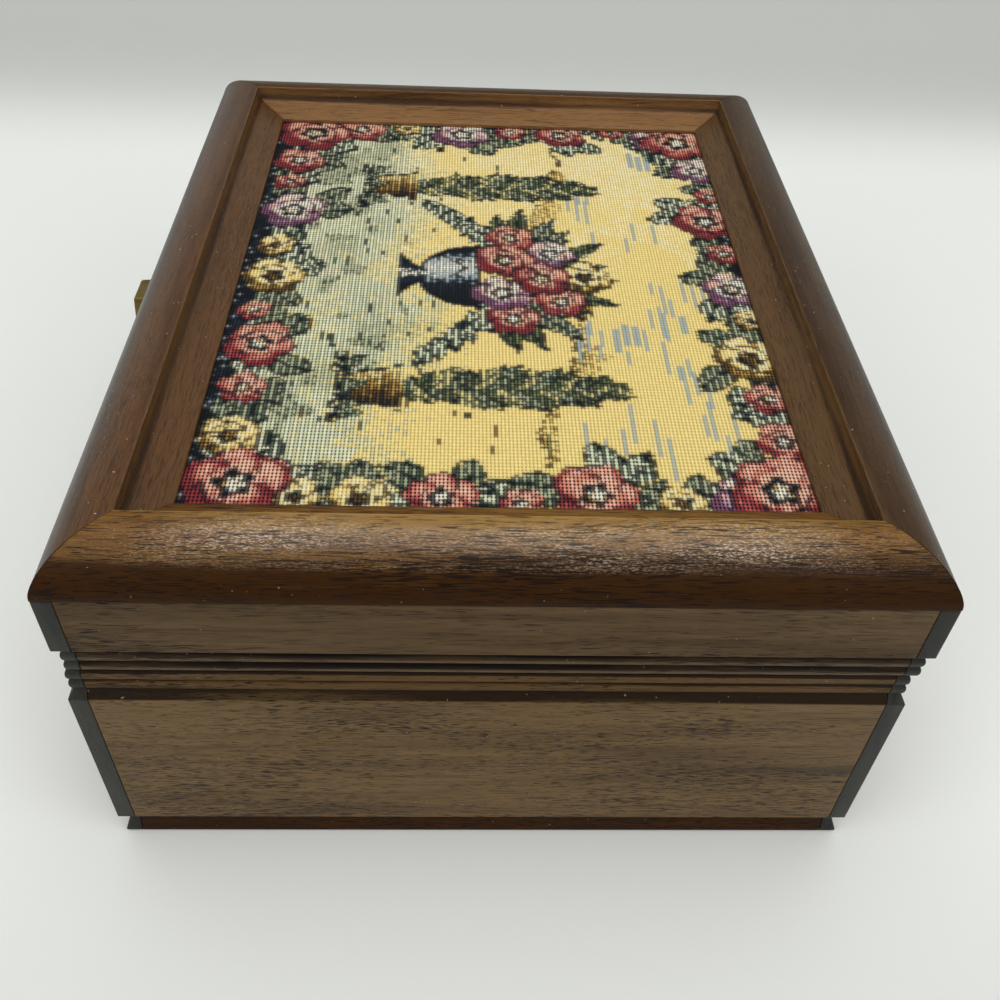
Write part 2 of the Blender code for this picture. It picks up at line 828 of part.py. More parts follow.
def make_barrel(brass, axis):
    """The spring barrel: a grooved drum with crown teeth round its top and a bore."""
    pitch = 2 * math.pi / crown_teeth
    root_z = crown_pitch_z - dedendum_share * crown_module
    tip_z = crown_pitch_z + addendum_share * crown_module
    angles = []
    heights = []
    for tooth in range(crown_teeth):
        for share, z in (
            (-tooth_root_share, root_z),
            (-tooth_tip_share, tip_z),
            (tooth_tip_share, tip_z),
            (tooth_root_share, root_z),
        ):
            angles.append(tooth * pitch + share * pitch / 2)
            heights.append(z)

    def ring(radius, z=None):
        return [
            (
                barrel_x + radius * math.cos(t),
                train_y + radius * math.sin(t),
                h if z is None else z,
            )
            for t, h in zip(angles, heights)
        ]

    groove_low = barrel_low + barrel_wall_below
    groove_high = groove_low + barrel_groove_height
    rings = [
        ring(arbor_radius + arbor_clearance, barrel_low),
        ring(crown_outer, barrel_low),
        ring(crown_outer, groove_low),
        ring(crown_outer - barrel_groove_depth, groove_low),
        ring(crown_outer - barrel_groove_depth, groove_high),
        ring(crown_outer, groove_high),
        ring(crown_outer),
        ring(crown_inner),
        ring(crown_inner, root_z - barrel_groove_depth),
        ring(arbor_radius + arbor_clearance, root_z - barrel_groove_depth),
    ]
    piece("spring_barrel", loft(rings, closed=True), brass, axis, smooth=fine_angle)


def make_winding(brass, steel, axis):
    """The winding arbor through barrel, bedplate and bottom board, and its butterfly key."""
    key_low = key_floor_gap
    key_high = bottom_low - key_board_gap
    bore_low = key_high - key_bore_depth
    centre = (barrel_x, train_y)
    shoulder = crown_pitch_z + addendum_share * crown_module
    arbor = [
        (arbor_radius, bore_low + seat_gap),
        (arbor_radius, shoulder),
        (arbor_pivot_radius, shoulder),
        (arbor_pivot_radius, shoulder + bridge_rise + arbor_pivot_length),
    ]
    made = turned(arbor, arbor_sides, "Z", centre)
    piece("winding_arbor", made, steel, axis, smooth=round_angle)

    wing_low, wing_high = key_low, key_high - key_wing_drop
    middle, half = (wing_low + wing_high) / 2, (wing_high - wing_low) / 2
    outline = []
    for side in (1, -1):
        for step in range(wing_segments + 1):
            angle = math.pi * (step / wing_segments - 1 / 2)
            x = key_wing_reach - half + half * math.cos(angle)
            outline.append((side * x, middle + side * half * math.sin(angle)))
        waist = half * (key_wing_waist / key_wing_reach)
        outline.append((side * key_hub_radius, middle + side * (half - waist)))
        outline.append((-side * key_hub_radius, middle + side * (half - waist)))
    wings = shifted(outline, barrel_x, 0)
    ends = train_y - key_wing_thickness / 2, train_y + key_wing_thickness / 2
    key = piece("winding_key", prism(wings, *ends, "Y"), brass, axis, smooth=round_angle)
    hub = shifted(circle(key_hub_radius, arbor_sides), *centre)
    add(key, "key_hub", prism(hub, key_low, key_high, "Z"), axis)
    bore = shifted(circle(arbor_radius + arbor_clearance, arbor_sides), *centre)
    cut(key, "key_bore", prism(bore, bore_low, key_high + cut_overrun, "Z"), axis)


def make_bedplate(cast):
    """The cast bedplate with its comb pedestal, bearing upright and idler bearing post."""
    left, right = barrel_x - bed_left_reach, barrel_x + bed_right_reach
    front, back = train_y - bed_front_reach, train_y + bed_back_reach
    outline = []
    for x, y, turn in ((right, back, 0), (left, back, 1), (left, front, 2), (right, front, 3)):
        for step in range(bed_corner_segments + 1):
            angle = math.pi / 2 * (turn + step / bed_corner_segments)
            cx = x - bed_corner * (1 if turn in (0, 3) else -1)
            cy = y - bed_corner * (1 if turn in (0, 1) else -1)
            outline.append((cx + bed_corner * math.cos(angle), cy + bed_corner * math.sin(angle)))
    bed = piece("bedplate", prism(outline, bed_low, bed_top, "Z"), cast)

    sunk = bed_top - bed_thickness / 2
    comb_low = cylinder_z - comb_thickness / 2 - seat_gap
    comb_back = train_y - cylinder_reach - comb_gap - comb_long_tooth
    low = (comb_left(), comb_back - comb_body_depth, sunk)
    add(bed, "comb_pedestal", box(low, (comb_right(), comb_back, comb_low)))

    top = cylinder_z + upright_rise
    step_top = idler_z + bearing_half_width + bearing_thickness
    upright = [
        (train_y - upright_front, sunk),
        (train_y + upright_back, sunk),
        (train_y + upright_back, step_top),
        (train_y + upright_front, top),
        (train_y - upright_front, top),
    ]
    ends = barrel_x + upright_start, barrel_x + upright_end
    add(bed, "right_upright", prism(upright, *ends, "X"))
    post_left = worm_x - worm_wheel_face / 2 - idler_bearing_gap - bearing_thickness
    post = rectangle(idler_y - bearing_half_width, idler_y + bearing_half_width,
                     sunk, idler_z + bearing_half_width)
    add(bed, "idler_post", prism(post, post_left, post_left + bearing_thickness, "X"))

    hole_ends = barrel_x + upright_start - cut_overrun, barrel_x + upright_end + cut_overrun
    hole = shifted(circle(shaft_radius + shaft_clearance, shaft_sides), train_y, cylinder_z)
    cut(bed, "cylinder_bearing", prism(hole, *hole_ends, "X"))
    hole = shifted(circle(idler_radius + shaft_clearance, shaft_sides), idler_y, idler_z)
    cut(bed, "idler_bearings", prism(hole, post_left - cut_overrun, hole_ends[1], "X"))
    hole = shifted(circle(arbor_radius + arbor_clearance, arbor_sides), barrel_x, train_y)
    cut(bed, "arbor_hole", prism(hole, bed_low - cut_overrun, bed_top + cut_overrun, "Z"))
    hole = shifted(circle(worm_pivot_radius + shaft_clearance, shaft_sides), worm_x, worm_y)
    low = bed_top - worm_pivot_depth - shaft_clearance
    cut(bed, "worm_foot_hole", prism(hole, low, bed_top + cut_overrun, "Z"))
    for k, x in enumerate(comb_screw_places()):
        hole = shifted(circle(screw_radius + screw_clearance, small_sides), x, comb_screw_y())
        low = comb_low - screw_depth
        cut(bed, f"screw_hole_{k + 1}", prism(hole, low, comb_low + cut_overrun, "Z"))


def comb_left():
    return barrel_x + cylinder_start + (cylinder_length - note_count * note_pitch) / 2 - comb_margin


def comb_right():
    return comb_left() + note_count * note_pitch + 2 * comb_margin


def comb_screw_y():
    body = train_y - cylinder_reach - comb_gap - comb_long_tooth
    return body - comb_body_depth / 2


def comb_screw_places():
    return comb_left() + comb_screw_inset, comb_right() - comb_screw_inset


def make_comb(steel, screw_steel):
    """The tuned comb: one plate whose teeth shorten from bass to treble, held by two screws."""
    tips = train_y - cylinder_reach - comb_gap
    body_back = tips - comb_long_tooth
    low, high = cylinder_z - comb_thickness / 2, cylinder_z + comb_thickness / 2
    first = comb_left() + comb_margin
    outline = [(comb_right(), body_back - comb_body_depth), (comb_right(), tips - comb_short_tooth)]
    for note in reversed(range(note_count)):
        share = note / (note_count - 1)
        root = tips - comb_long_tooth + (comb_long_tooth - comb_short_tooth) * share
        middle = first + (note + 1 / 2) * note_pitch
        right, left = middle + comb_tooth_width / 2, middle - comb_tooth_width / 2
        outline += [(right, root), (right, tips), (left, tips), (left, root)]
    outline += [(comb_left(), body_back), (comb_left(), body_back - comb_body_depth)]
    comb = piece("comb", prism(outline, low, high, "Z"), steel)
    for k, x in enumerate(comb_screw_places()):
        hole = shifted(circle(screw_radius + screw_clearance, small_sides), x, comb_screw_y())
        cut(comb, f"comb_hole_{k + 1}", prism(hole, low - cut_overrun, high + cut_overrun, "Z"))
        head_low = high + seat_gap
        head_high = head_low + screw_head_height
        profile = [
            (screw_radius, low - screw_depth + screw_clearance),
            (screw_radius, head_low),
            (screw_head_radius, head_low),
            (screw_head_radius, head_high - screw_head_height * screw_dome_height_share),
            (screw_head_radius * screw_dome_radius_share, head_high),
        ]
        made = turned(profile, shaft_sides, "Z", (x, comb_screw_y()))
        screw = piece(f"comb_screw_{k + 1}", made, screw_steel, smooth=round_angle)
        reach = screw_head_radius + cut_overrun
        low_slot = (x - reach, comb_screw_y() - screw_slot / 2, head_high - screw_slot)
        high_slot = (x + reach, comb_screw_y() + screw_slot / 2, head_high + cut_overrun)
        cut(screw, f"screw_slot_{k + 1}", box(low_slot, high_slot))


def make_cylinder(brass, steel, gear_brass, axis):
    """The pinned cylinder, its arbor with the pinion cut on it, and its wheel."""
    bore = shaft_radius + shaft_clearance
    low, high = barrel_x + cylinder_start, barrel_x + cylinder_end
    centre = (train_y, cylinder_z)
    profile = [(bore, low), (cylinder_radius, low), (cylinder_radius, high), (bore, high)]
    made = turned(profile, cylinder_sides, "X", centre, closed=True)
    drum = piece("pinned_cylinder", made, brass, axis, smooth=drum_angle)
    pins = bmesh.new()
    first = comb_left() + comb_margin
    base = cylinder_radius - pin_root
    half = pin_width / 2
    for row in range(pin_rows):
        angle = 2 * math.pi * (row + 1 / 2) / pin_rows
        out = Vector((0, math.cos(angle), math.sin(angle)))
        round_way = Vector((0, -math.sin(angle), math.cos(angle)))
        melody = melody_step * row % note_count
        harmony = (harmony_step * row + harmony_start) % note_count
        for note in {melody, harmony}:
            middle = Vector((first + (note + 1 / 2) * note_pitch, *centre))
            rings = []
            for reach, size in ((base, half), (cylinder_reach, half / 2)):
                ring = []
                for a, b in rectangle(-size, size, -size, size):
                    ring.append(middle + reach * out + Vector((a, 0, 0)) + b * round_way)
                rings.append(ring)
            loft(rings, bm=pins)
    add(drum, "cylinder_pins", pins, axis)

    start = barrel_x + bridge_half_width - bridge_thickness - seat_gap
    end = barrel_x + upright_end + seat_gap
    shaft = prism(shifted(circle(shaft_radius, shaft_sides), *centre), start, end, "X")
    arbor = piece("cylinder_arbor", shaft, steel, axis, smooth=round_angle)
    gap_down = -math.pi / 2 + math.pi / pinion_teeth
    teeth = shifted(gear_outline(pinion_teeth, crown_module, gap_down), *centre)
    middle = barrel_x + crown_radius
    made = prism(teeth, middle - pinion_face / 2, middle + pinion_face / 2, "X")
    add(arbor, "crown_pinion", made, axis)

    teeth = shifted(gear_outline(gear_teeth, gear_module, -idler_drop_angle), *centre)
    ends = barrel_x + gear_start, barrel_x + gear_end
    wheel = piece("cylinder_gear", prism(teeth, *ends, "X"), gear_brass, axis)
    hole = shifted(circle(bore, shaft_sides), *centre)
    cut(wheel, "gear_bore", prism(hole, ends[0] - cut_overrun, ends[1] + cut_overrun, "X"), axis)


def make_idler(brass, steel, axis):
    """The idler arbor with its pinion, and the worm wheel on it."""
    centre = (idler_y, idler_z)
    start = worm_x - worm_wheel_face / 2 - idler_bearing_gap - bearing_thickness - seat_gap
    end = barrel_x + upright_end + seat_gap
    shaft = prism(shifted(circle(idler_radius, shaft_sides), *centre), start, end, "X")
    arbor = piece("idler_arbor", shaft, steel, axis, smooth=round_angle)
    gap_turn = math.pi - idler_drop_angle + math.pi / idler_teeth
    teeth = shifted(gear_outline(idler_teeth, gear_module, gap_turn), *centre)
    middle = barrel_x + (gear_start + gear_end) / 2
    made = prism(teeth, middle - idler_face / 2, middle + idler_face / 2, "X")
    add(arbor, "idler_pinion", made, axis)

    teeth = shifted(gear_outline(worm_wheel_teeth, worm_wheel_module), *centre)
    ends = worm_x - worm_wheel_face / 2, worm_x + worm_wheel_face / 2
    wheel = piece("worm_wheel", prism(teeth, *ends, "X"), brass, axis)
    hole = shifted(circle(idler_radius + shaft_clearance, shaft_sides), *centre)
    made = prism(hole, ends[0] - cut_overrun, ends[1] + cut_overrun, "X")
    cut(wheel, "worm_wheel_bore", made, axis)


def ring_at(bm, centre, radius, z, sides):
    return [bm.verts.new((x, y, z)) for x, y in shifted(circle(radius, sides), *centre)]


def worm_body(centre, stack_below, stack_above):
    """A right-handed worm on its shaft, with the shaft's ends as (radius, height) from the worm out.

    Its rows run up helically, one lead in each turn, so each row keeps one radius: the
    core, or one corner of the thread's section. After a turn a row meets the row that
    lies one lead above its start. The groove level with the wheel's axis faces the wheel.
    """
    root = worm_radius - dedendum_share * worm_wheel_module
    crest = worm_radius + addendum_share * worm_wheel_module
    section = (
        (1 / 2 - thread_root_share, root),
        (1 / 2 - thread_crest_share, crest),
        (1 / 2 + thread_crest_share, crest),
        (1 / 2 + thread_root_share, root),
    )
    corners = len(section)
    start = idler_z - (worm_turns / 2 + wheel_side_share) * worm_lead
    bm = bmesh.new()
    rows = []
    for turn in range(-1, worm_turns + 1):
        for share, radius in section:
            threaded = 0 <= turn < worm_turns
            rows.append((radius if threaded else root, start + (turn + share) * worm_lead))
    last = len(rows) - 1
    grid = []
    for radius, z in rows:
        row = ring_at(bm, centre, radius, z, worm_segments)
        for step, vert in enumerate(row):
            vert.co.z += worm_lead * step / worm_segments
        grid.append(row)
    for k, (radius, z) in enumerate(rows):
        if k + corners <= last:
            grid[k].append(grid[k + corners][0])
        else:
            grid[k].append(bm.verts.new((centre[0] + radius, centre[1], z + worm_lead)))
    for low, high in zip(grid, grid[1:]):
        for step in range(worm_segments):
            bm.faces.new((low[step], low[step + 1], high[step + 1], high[step]))

    # The seam's open points go into the one face beside them at each end
    seam_below = [grid[k][0] for k in range(corners)]
    seam_above = [grid[k][worm_segments] for k in range(last - corners + 1, last + 1)]
    for row, stack, seam, seam_step in (
        (grid[0], stack_below, seam_below, worm_segments - 1),
        (grid[last], stack_above, seam_above[::-1], 0),
    ):
        circles = [ring_at(bm, centre, radius, z, worm_segments) for radius, z in stack]
        for step in range(worm_segments):
            after = (step + 1) % worm_segments
            face = [circles[0][step], circles[0][after], row[step + 1], row[step]]
            if step == seam_step:
                place = 2 if row is grid[0] else 4
                extra = seam if row is grid[0] else seam[::-1]
                face[place:place] = extra
            bm.faces.new(face)
        for near, far in zip(circles, circles[1:]):
            for step in range(worm_segments):
                after = (step + 1) % worm_segments
                bm.faces.new((near[step], near[after], far[after], far[step]))
        bm.faces.new(circles[-1])
    return bm


def make_governor(brass, steel, axis, wire_axis):
    """The air brake: worm shaft, two-bladed fan, its bracket, and the stop wire beside it."""
    centre = (worm_x, worm_y)
    root = worm_radius - dedendum_share * worm_wheel_module
    fan_low = bed_top + fan_rise
    arm_high = bed_top + bracket_height
    arm_low = arm_high - bracket_thickness
    shoulder = idler_z + (worm_turns + 1) * worm_lead
    below = [(root, bed_top + seat_gap), (worm_pivot_radius, bed_top + seat_gap),
             (worm_pivot_radius, bed_top - worm_pivot_depth)]
    above = [(root, shoulder), (worm_shaft_radius, shoulder),
             (worm_shaft_radius, arm_low - seat_gap), (worm_pivot_radius, arm_low - seat_gap),
             (worm_pivot_radius, arm_high - seat_gap)]
    piece("governor_worm", worm_body(centre, below, above), steel, axis, smooth=round_angle)

    hub = math.asin(fan_blade / 2 / fan_hub_radius)
    outline = []
    for side in (0, math.pi):
        across = Vector((math.cos(side), math.sin(side)))
        edge = Vector((-across.y, across.x)) * fan_blade / 2
        reach = across * math.sqrt(fan_radius**2 - (fan_blade / 2) ** 2)
        outline += [tuple(reach - edge), tuple(reach + edge)]
        for step in range(fan_hub_segments + 1):
            angle = side + hub + (math.pi - 2 * hub) * step / fan_hub_segments
            outline.append((fan_hub_radius * math.cos(angle), fan_hub_radius * math.sin(angle)))
    made = prism(shifted(outline, *centre), fan_low, fan_low + fan_height, "Z")
    fan = piece("governor_fan", made, brass, axis)
    hole = shifted(circle(worm_shaft_radius + shaft_clearance, shaft_sides), *centre)
    made = prism(hole, fan_low - cut_overrun, fan_low + fan_height + cut_overrun, "Z")
    cut(fan, "fan_bore", made, axis)

    web = worm_x + fan_radius + bracket_clearance
    foot = bed_top + seat_gap
    outline = [
        (worm_x - bracket_half_depth, arm_low),
        (web, arm_low),
        (web, foot),
        (web + bracket_thickness, foot),
        (web + bracket_thickness, arm_high),
        (worm_x - bracket_half_depth, arm_high),
    ]
    ends = worm_y - bracket_half_depth, worm_y + bracket_half_depth
    bracket = piece("governor_bracket", prism(outline, *ends, "Y"), brass)
    lug_back = wire_y + bracket_half_depth - wire_radius
    low = (worm_x - bracket_half_depth, worm_y, arm_low)
    high = (worm_x + bracket_half_depth, lug_back, arm_high)
    add(bracket, "wire_lug", box(low, high))
    for name, radius, y in (
        ("worm_bearing", worm_pivot_radius + shaft_clearance, worm_y),
        ("wire_guide", wire_radius + wire_guide_clearance, wire_y),
    ):
        hole = shifted(circle(radius, shaft_sides), worm_x, y)
        cut(bracket, name, prism(hole, arm_low - cut_overrun, arm_high + cut_overrun, "Z"))

    wire_low = fan_low + fan_height - wire_overlap
    wire_high = surround_low - seat_gap
    tip = wire_radius / 2
    profile = [(tip, wire_low), (wire_radius, wire_low + tip), (wire_radius, wire_high - tip),
               (tip, wire_high)]
    made = turned(profile, wire_sides, "Z", (worm_x, wire_y))
    piece("stop_wire", made, steel, wire_axis, smooth=soft_angle)


def make_bridge(brass):
    """The bent bridge over the barrel, with an ear that carries the cylinder's left end."""
    tip_z = crown_pitch_z + addendum_share * crown_module
    under, top = tip_z + bridge_rise, tip_z + bridge_rise + bridge_thickness
    foot_low, foot_high = bed_top + seat_gap, bed_top + seat_gap + bridge_thickness
    inner = crown_outer + bridge_leg_gap
    outer = inner + bridge_thickness
    half = [(inner, under), (inner, foot_low), (outer + bridge_foot, foot_low),
            (outer + bridge_foot, foot_high), (outer, foot_high), (outer, top)]
    outline = [(train_y + y, z) for y, z in half] + [(train_y - y, z) for y, z in half[::-1]]
    low, high = barrel_x - bridge_half_width, barrel_x + bridge_half_width
    bridge = piece("barrel_bridge", prism(outline, low, high, "X"), brass)
    ear = rectangle(train_y - bridge_ear_half_width, train_y + bridge_ear_half_width,
                    under + bridge_thickness / 2, cylinder_z + bridge_ear_rise)
    add(bridge, "bridge_ear", prism(ear, high - bridge_thickness, high, "X"))
    hole = shifted(circle(shaft_radius + shaft_clearance, shaft_sides), train_y, cylinder_z)
    ends = high - bridge_thickness - cut_overrun, high + cut_overrun
    cut(bridge, "ear_bearing", prism(hole, *ends, "X"))
    hole = shifted(circle(arbor_pivot_radius + shaft_clearance, shaft_sides), barrel_x, train_y)
    cut(bridge, "barrel_bearing", prism(hole, under - cut_overrun, top + cut_overrun, "Z"))


def make_hood(clear):
    """The clear dust hood over the movement, open below, with a hole for the stop wire."""
    low = (inner_x - hood_length, inner_y - hood_depth, fit_floor)
    high = (inner_x, inner_y, hood_inner_top + hood_wall)
    hood = piece("dust_hood", box(low, high), clear)
    inside_low = (low[0] + hood_wall, low[1] + hood_wall, fit_floor - cut_overrun)
    inside_high = (high[0] - hood_wall, high[1] - hood_wall, hood_inner_top)
    cut(hood, "hood_inside", box(inside_low, inside_high))
    hole = shifted(circle(hood_wire_hole_radius, shaft_sides), worm_x, wire_y)
    ends = hood_inner_top - cut_overrun, high[2] + cut_overrun
    cut(hood, "hood_hole", prism(hole, *ends, "Z"))


def build():
    start_scene()
    walnut = finish("walnut", (0.15, 0.075, 0.04), 0.4)
    cloth = finish("woven_cloth", (0.68, 0.55, 0.27), 0.9)
    board = finish("grey_board", (0.35, 0.32, 0.28), 0.9)
    velvet = finish("red_velvet", (0.3, 0.02, 0.03), 0.95)
    glass = finish("mirror", (0.8, 0.82, 0.82), 0.05, 1.0)
    brass = finish("brass", (0.6, 0.45, 0.2), 0.35, 1.0)
    steel = finish("steel", (0.55, 0.55, 0.56), 0.3, 1.0)
    cast = finish("cast_metal", (0.4, 0.4, 0.41), 0.5, 1.0)
    clear = finish("clear_plastic", (0.9, 0.92, 0.92), 0.1, 0.0, 0.3)

    lid_axis = joint_axis("lid_axis", (0, hinge_y, hinge_z))
    winding_axis = joint_axis("winding_axis", (barrel_x, train_y, floor_top))
    barrel_axis = joint_axis("barrel_axis", (barrel_x, train_y, barrel_low))
    cylinder_axis = joint_axis("cylinder_axis", (barrel_x, train_y, cylinder_z))
    idler_axis = joint_axis("idler_axis", (barrel_x, idler_y, idler_z))
    governor_axis = joint_axis("governor_axis", (worm_x, worm_y, idler_z))
    wire_axis = joint_axis("wire_axis", (worm_x, wire_y, bed_top + bracket_height))

    base = make_case(walnut)
    lid = make_lid(walnut, cloth, board, glass, velvet, lid_axis)
    make_interior(velvet, board, velvet)
    spread = case_length * hinge_offset_share
    middles = (-spread, spread)
    let_in_hinges(middles, base["_back"], lid["_back"], lid_axis)
    for word, middle in zip(("left", "right"), middles):
        make_hinge(word, middle, brass, steel, lid_axis)
    make_pull(brass, lid_axis)

    make_bedplate(cast)
    make_barrel(brass, barrel_axis)
    make_winding(brass, steel, winding_axis)
    make_bridge(brass)
    make_cylinder(brass, steel, brass, cylinder_axis)
    make_comb(steel, steel)
    make_idler(brass, steel, idler_axis)
    make_governor(brass, steel, governor_axis, wire_axis)
    make_hood(clear)


build()
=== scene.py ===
import math

import bmesh
import bpy
import numpy as np
from mathutils import Matrix, Vector


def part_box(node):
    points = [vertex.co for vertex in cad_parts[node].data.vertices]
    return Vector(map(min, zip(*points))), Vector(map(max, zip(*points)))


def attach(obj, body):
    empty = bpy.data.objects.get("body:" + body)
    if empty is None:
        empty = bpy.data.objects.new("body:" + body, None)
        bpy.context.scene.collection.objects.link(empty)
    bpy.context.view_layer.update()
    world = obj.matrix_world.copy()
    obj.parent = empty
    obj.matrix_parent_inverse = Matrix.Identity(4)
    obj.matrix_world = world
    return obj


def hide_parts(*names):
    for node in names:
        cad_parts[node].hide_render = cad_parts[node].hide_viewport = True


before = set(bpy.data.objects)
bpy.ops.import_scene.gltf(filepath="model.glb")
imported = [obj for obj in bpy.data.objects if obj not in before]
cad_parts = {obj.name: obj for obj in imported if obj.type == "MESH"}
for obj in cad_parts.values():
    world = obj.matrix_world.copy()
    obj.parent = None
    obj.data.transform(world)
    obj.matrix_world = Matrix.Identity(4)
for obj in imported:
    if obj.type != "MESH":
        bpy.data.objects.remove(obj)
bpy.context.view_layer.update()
print("frame loaded,", len(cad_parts), "nodes")

# New objects, and the camera


def linked(name, data):
    # A new object of some data, in the scene
    made = bpy.data.objects.new(name, data)
    bpy.context.scene.collection.objects.link(made)
    return made


def makeCamera():
    view = dict(place=(0.27193, -0.00969, 0.27759), yaw=3.341, pitch=44.508, roll=3.158,
                lens=37.8, sensor=36.0, nearest=0.01)
    yaw, pitch, roll = (math.radians(view[key]) for key in ("yaw", "pitch", "roll"))
    forward = Vector((-math.cos(yaw) * math.cos(pitch), math.sin(yaw) * math.cos(pitch),
                      -math.sin(pitch)))
    level = Vector((math.sin(yaw), math.cos(yaw), 0))
    upright = level.cross(forward)
    right = math.cos(roll) * level + math.sin(roll) * upright
    up = math.cos(roll) * upright - math.sin(roll) * level
    camera = linked("camera", bpy.data.cameras.new("camera"))
    camera.data.lens = view["lens"]
    camera.data.sensor_width = view["sensor"]
    camera.data.clip_start = view["nearest"]
    turned = Matrix((right, up, -forward)).transposed().to_4x4()
    camera.matrix_world = Matrix.Translation(view["place"]) @ turned
    bpy.context.scene.camera = camera


makeCamera()
print("camera placed")

# Material building


def paint(code):  # "#rrggbb" as seen on screen, as a linear colour
    parts = [int(code[i:i + 2], 16) / 255 for i in (1, 3, 5)]
    return (*(p / 12.92 if p <= 0.04045 else ((p + 0.055) / 1.055) ** 2.4 for p in parts), 1.0)


class Wire:  # one output socket; arithmetic on it adds Math nodes
    def __init__(self, recipe, socket):
        self.recipe = recipe
        self.socket = socket

    def maths(self, operation, *values):
        return self.recipe.node("ShaderNodeMath", {"operation": operation}, dict(enumerate(values)))

    def __add__(self, other):
        return self.maths("ADD", self, other)

    def __sub__(self, other):
        return self.maths("SUBTRACT", self, other)

    def __rsub__(self, other):
        return self.maths("SUBTRACT", other, self)

    def __mul__(self, other):
        return self.maths("MULTIPLY", self, other)

    def __truediv__(self, other):
        return self.maths("DIVIDE", self, other)

    __radd__ = __add__
    __rmul__ = __mul__

    def between(self, low, high):  # 0 below low, 1 above high, smooth in between
        values = {0: self, 1: low, 2: high, 3: 0.0, 4: 1.0}
        return self.recipe.node("ShaderNodeMapRange", {"interpolation_type": "SMOOTHSTEP"}, values)

    def size(self):
        return self.maths("ABSOLUTE", self)

    def part(self):  # what is left after the whole numbers
        return self.maths("FRACT", self)


class Recipe:  # a material while its nodes are put together
    def __init__(self, name, colour=(0.8, 0.8, 0.8, 1.0), roughness=0.5, **fixed):
        self.material = bpy.data.materials.new(name)
        self.material.use_nodes = True
        self.tree = self.material.node_tree
        self.shader = self.tree.nodes["Principled BSDF"]
        self.feed("Base Color", colour)
        self.feed("Roughness", roughness)
        for key, value in fixed.items():
            self.feed(key.replace("_", " "), value)

    def node(self, kind, settings=None, inputs=None, output=0):
        made = self.tree.nodes.new(kind)
        for key, value in (settings or {}).items():
            if key == "stops":
                ramp = made.color_ramp
                while len(ramp.elements) < len(value):
                    ramp.elements.new(0.5)
                for stop, (place, colour) in zip(ramp.elements, value):
                    stop.position = place
                    stop.color = colour
            else:
                setattr(made, key, value)
        for key, value in (inputs or {}).items():
            if isinstance(value, Wire):
                self.tree.links.new(value.socket, made.inputs[key])
            else:
                made.inputs[key].default_value = value
        return Wire(self, made.outputs[output])

    def feed(self, key, value):
        if isinstance(value, Wire):
            self.tree.links.new(value.socket, self.shader.inputs[key])
        else:
            self.shader.inputs[key].default_value = value

    def places(self):
        return self.node("ShaderNodeTexCoord", output="Object")

    def stretched(self, scale, offset=0.0, places=None):  # scale: one number, or one for each axis
        scale = scale if isinstance(scale, tuple) else (scale,) * 3
        inputs = {"Vector": places or self.places(), "Scale": scale, "Location": (offset,) * 3}
        return self.node("ShaderNodeMapping", None, inputs)

    def moved(self, places, distance, axis):  # pushed along one axis and along Z
        apart = [self.node("ShaderNodeSeparateXYZ", None, {0: places}, output=name) for name in "XYZ"]
        apart["XYZ".index(axis)] += distance
        apart[2] += distance
        return self.node("ShaderNodeCombineXYZ", None, dict(enumerate(apart)))

    def axis(self, name):
        return self.node("ShaderNodeSeparateXYZ", None, {0: self.places()}, output=name)

    def noise(self, vector, detail=2.0, roughness=0.5, distortion=0.0):  # scaled by its vector
        inputs = {"Vector": vector, "Scale": 1.0, "Detail": detail, "Roughness": roughness,
                  "Distortion": distortion}
        return self.node("ShaderNodeTexNoise", None, inputs)

    def cloud(self, scale, *kind):  # noise straight on the object's coordinates
        return self.noise(self.stretched(scale), *kind)

    def mark(self, name, output="Fac"):  # what the mesh carries at its points or corners
        return self.node("ShaderNodeAttribute", {"attribute_name": name}, output=output)

    def ramp(self, factor, *stops):
        return self.node("ShaderNodeValToRGB", {"stops": stops}, {0: factor})

    def toned(self, factor, dark, light, low=0.35, high=0.65):  # from a dark to a light tone
        return self.ramp(factor, (low, paint(dark)), (high, paint(light)))

    def mix(self, factor, first, second):
        settings = {"data_type": "RGBA", "clamp_factor": True}
        return self.node("ShaderNodeMix", settings, {0: factor, 6: first, 7: second}, output=2)

    def bump(self, height, distance, strength):
        inputs = {"Height": height, "Distance": distance, "Strength": strength}
        self.feed("Normal", self.node("ShaderNodeBump", None, inputs))


# Wood


# Repeats of each noise per metre: one number, or along the grain and across it
woodScales = dict(wander=14.0, figure=6.0, streak=15.0, fibre=(150.0, 4200.0), crowd=(16.0, 70.0),
                  line=(100.0, 3400.0), fine=(1000.0, 4200.0), patch=(11.0, 110.0), speck=1300.0,
                  grit=2600.0)


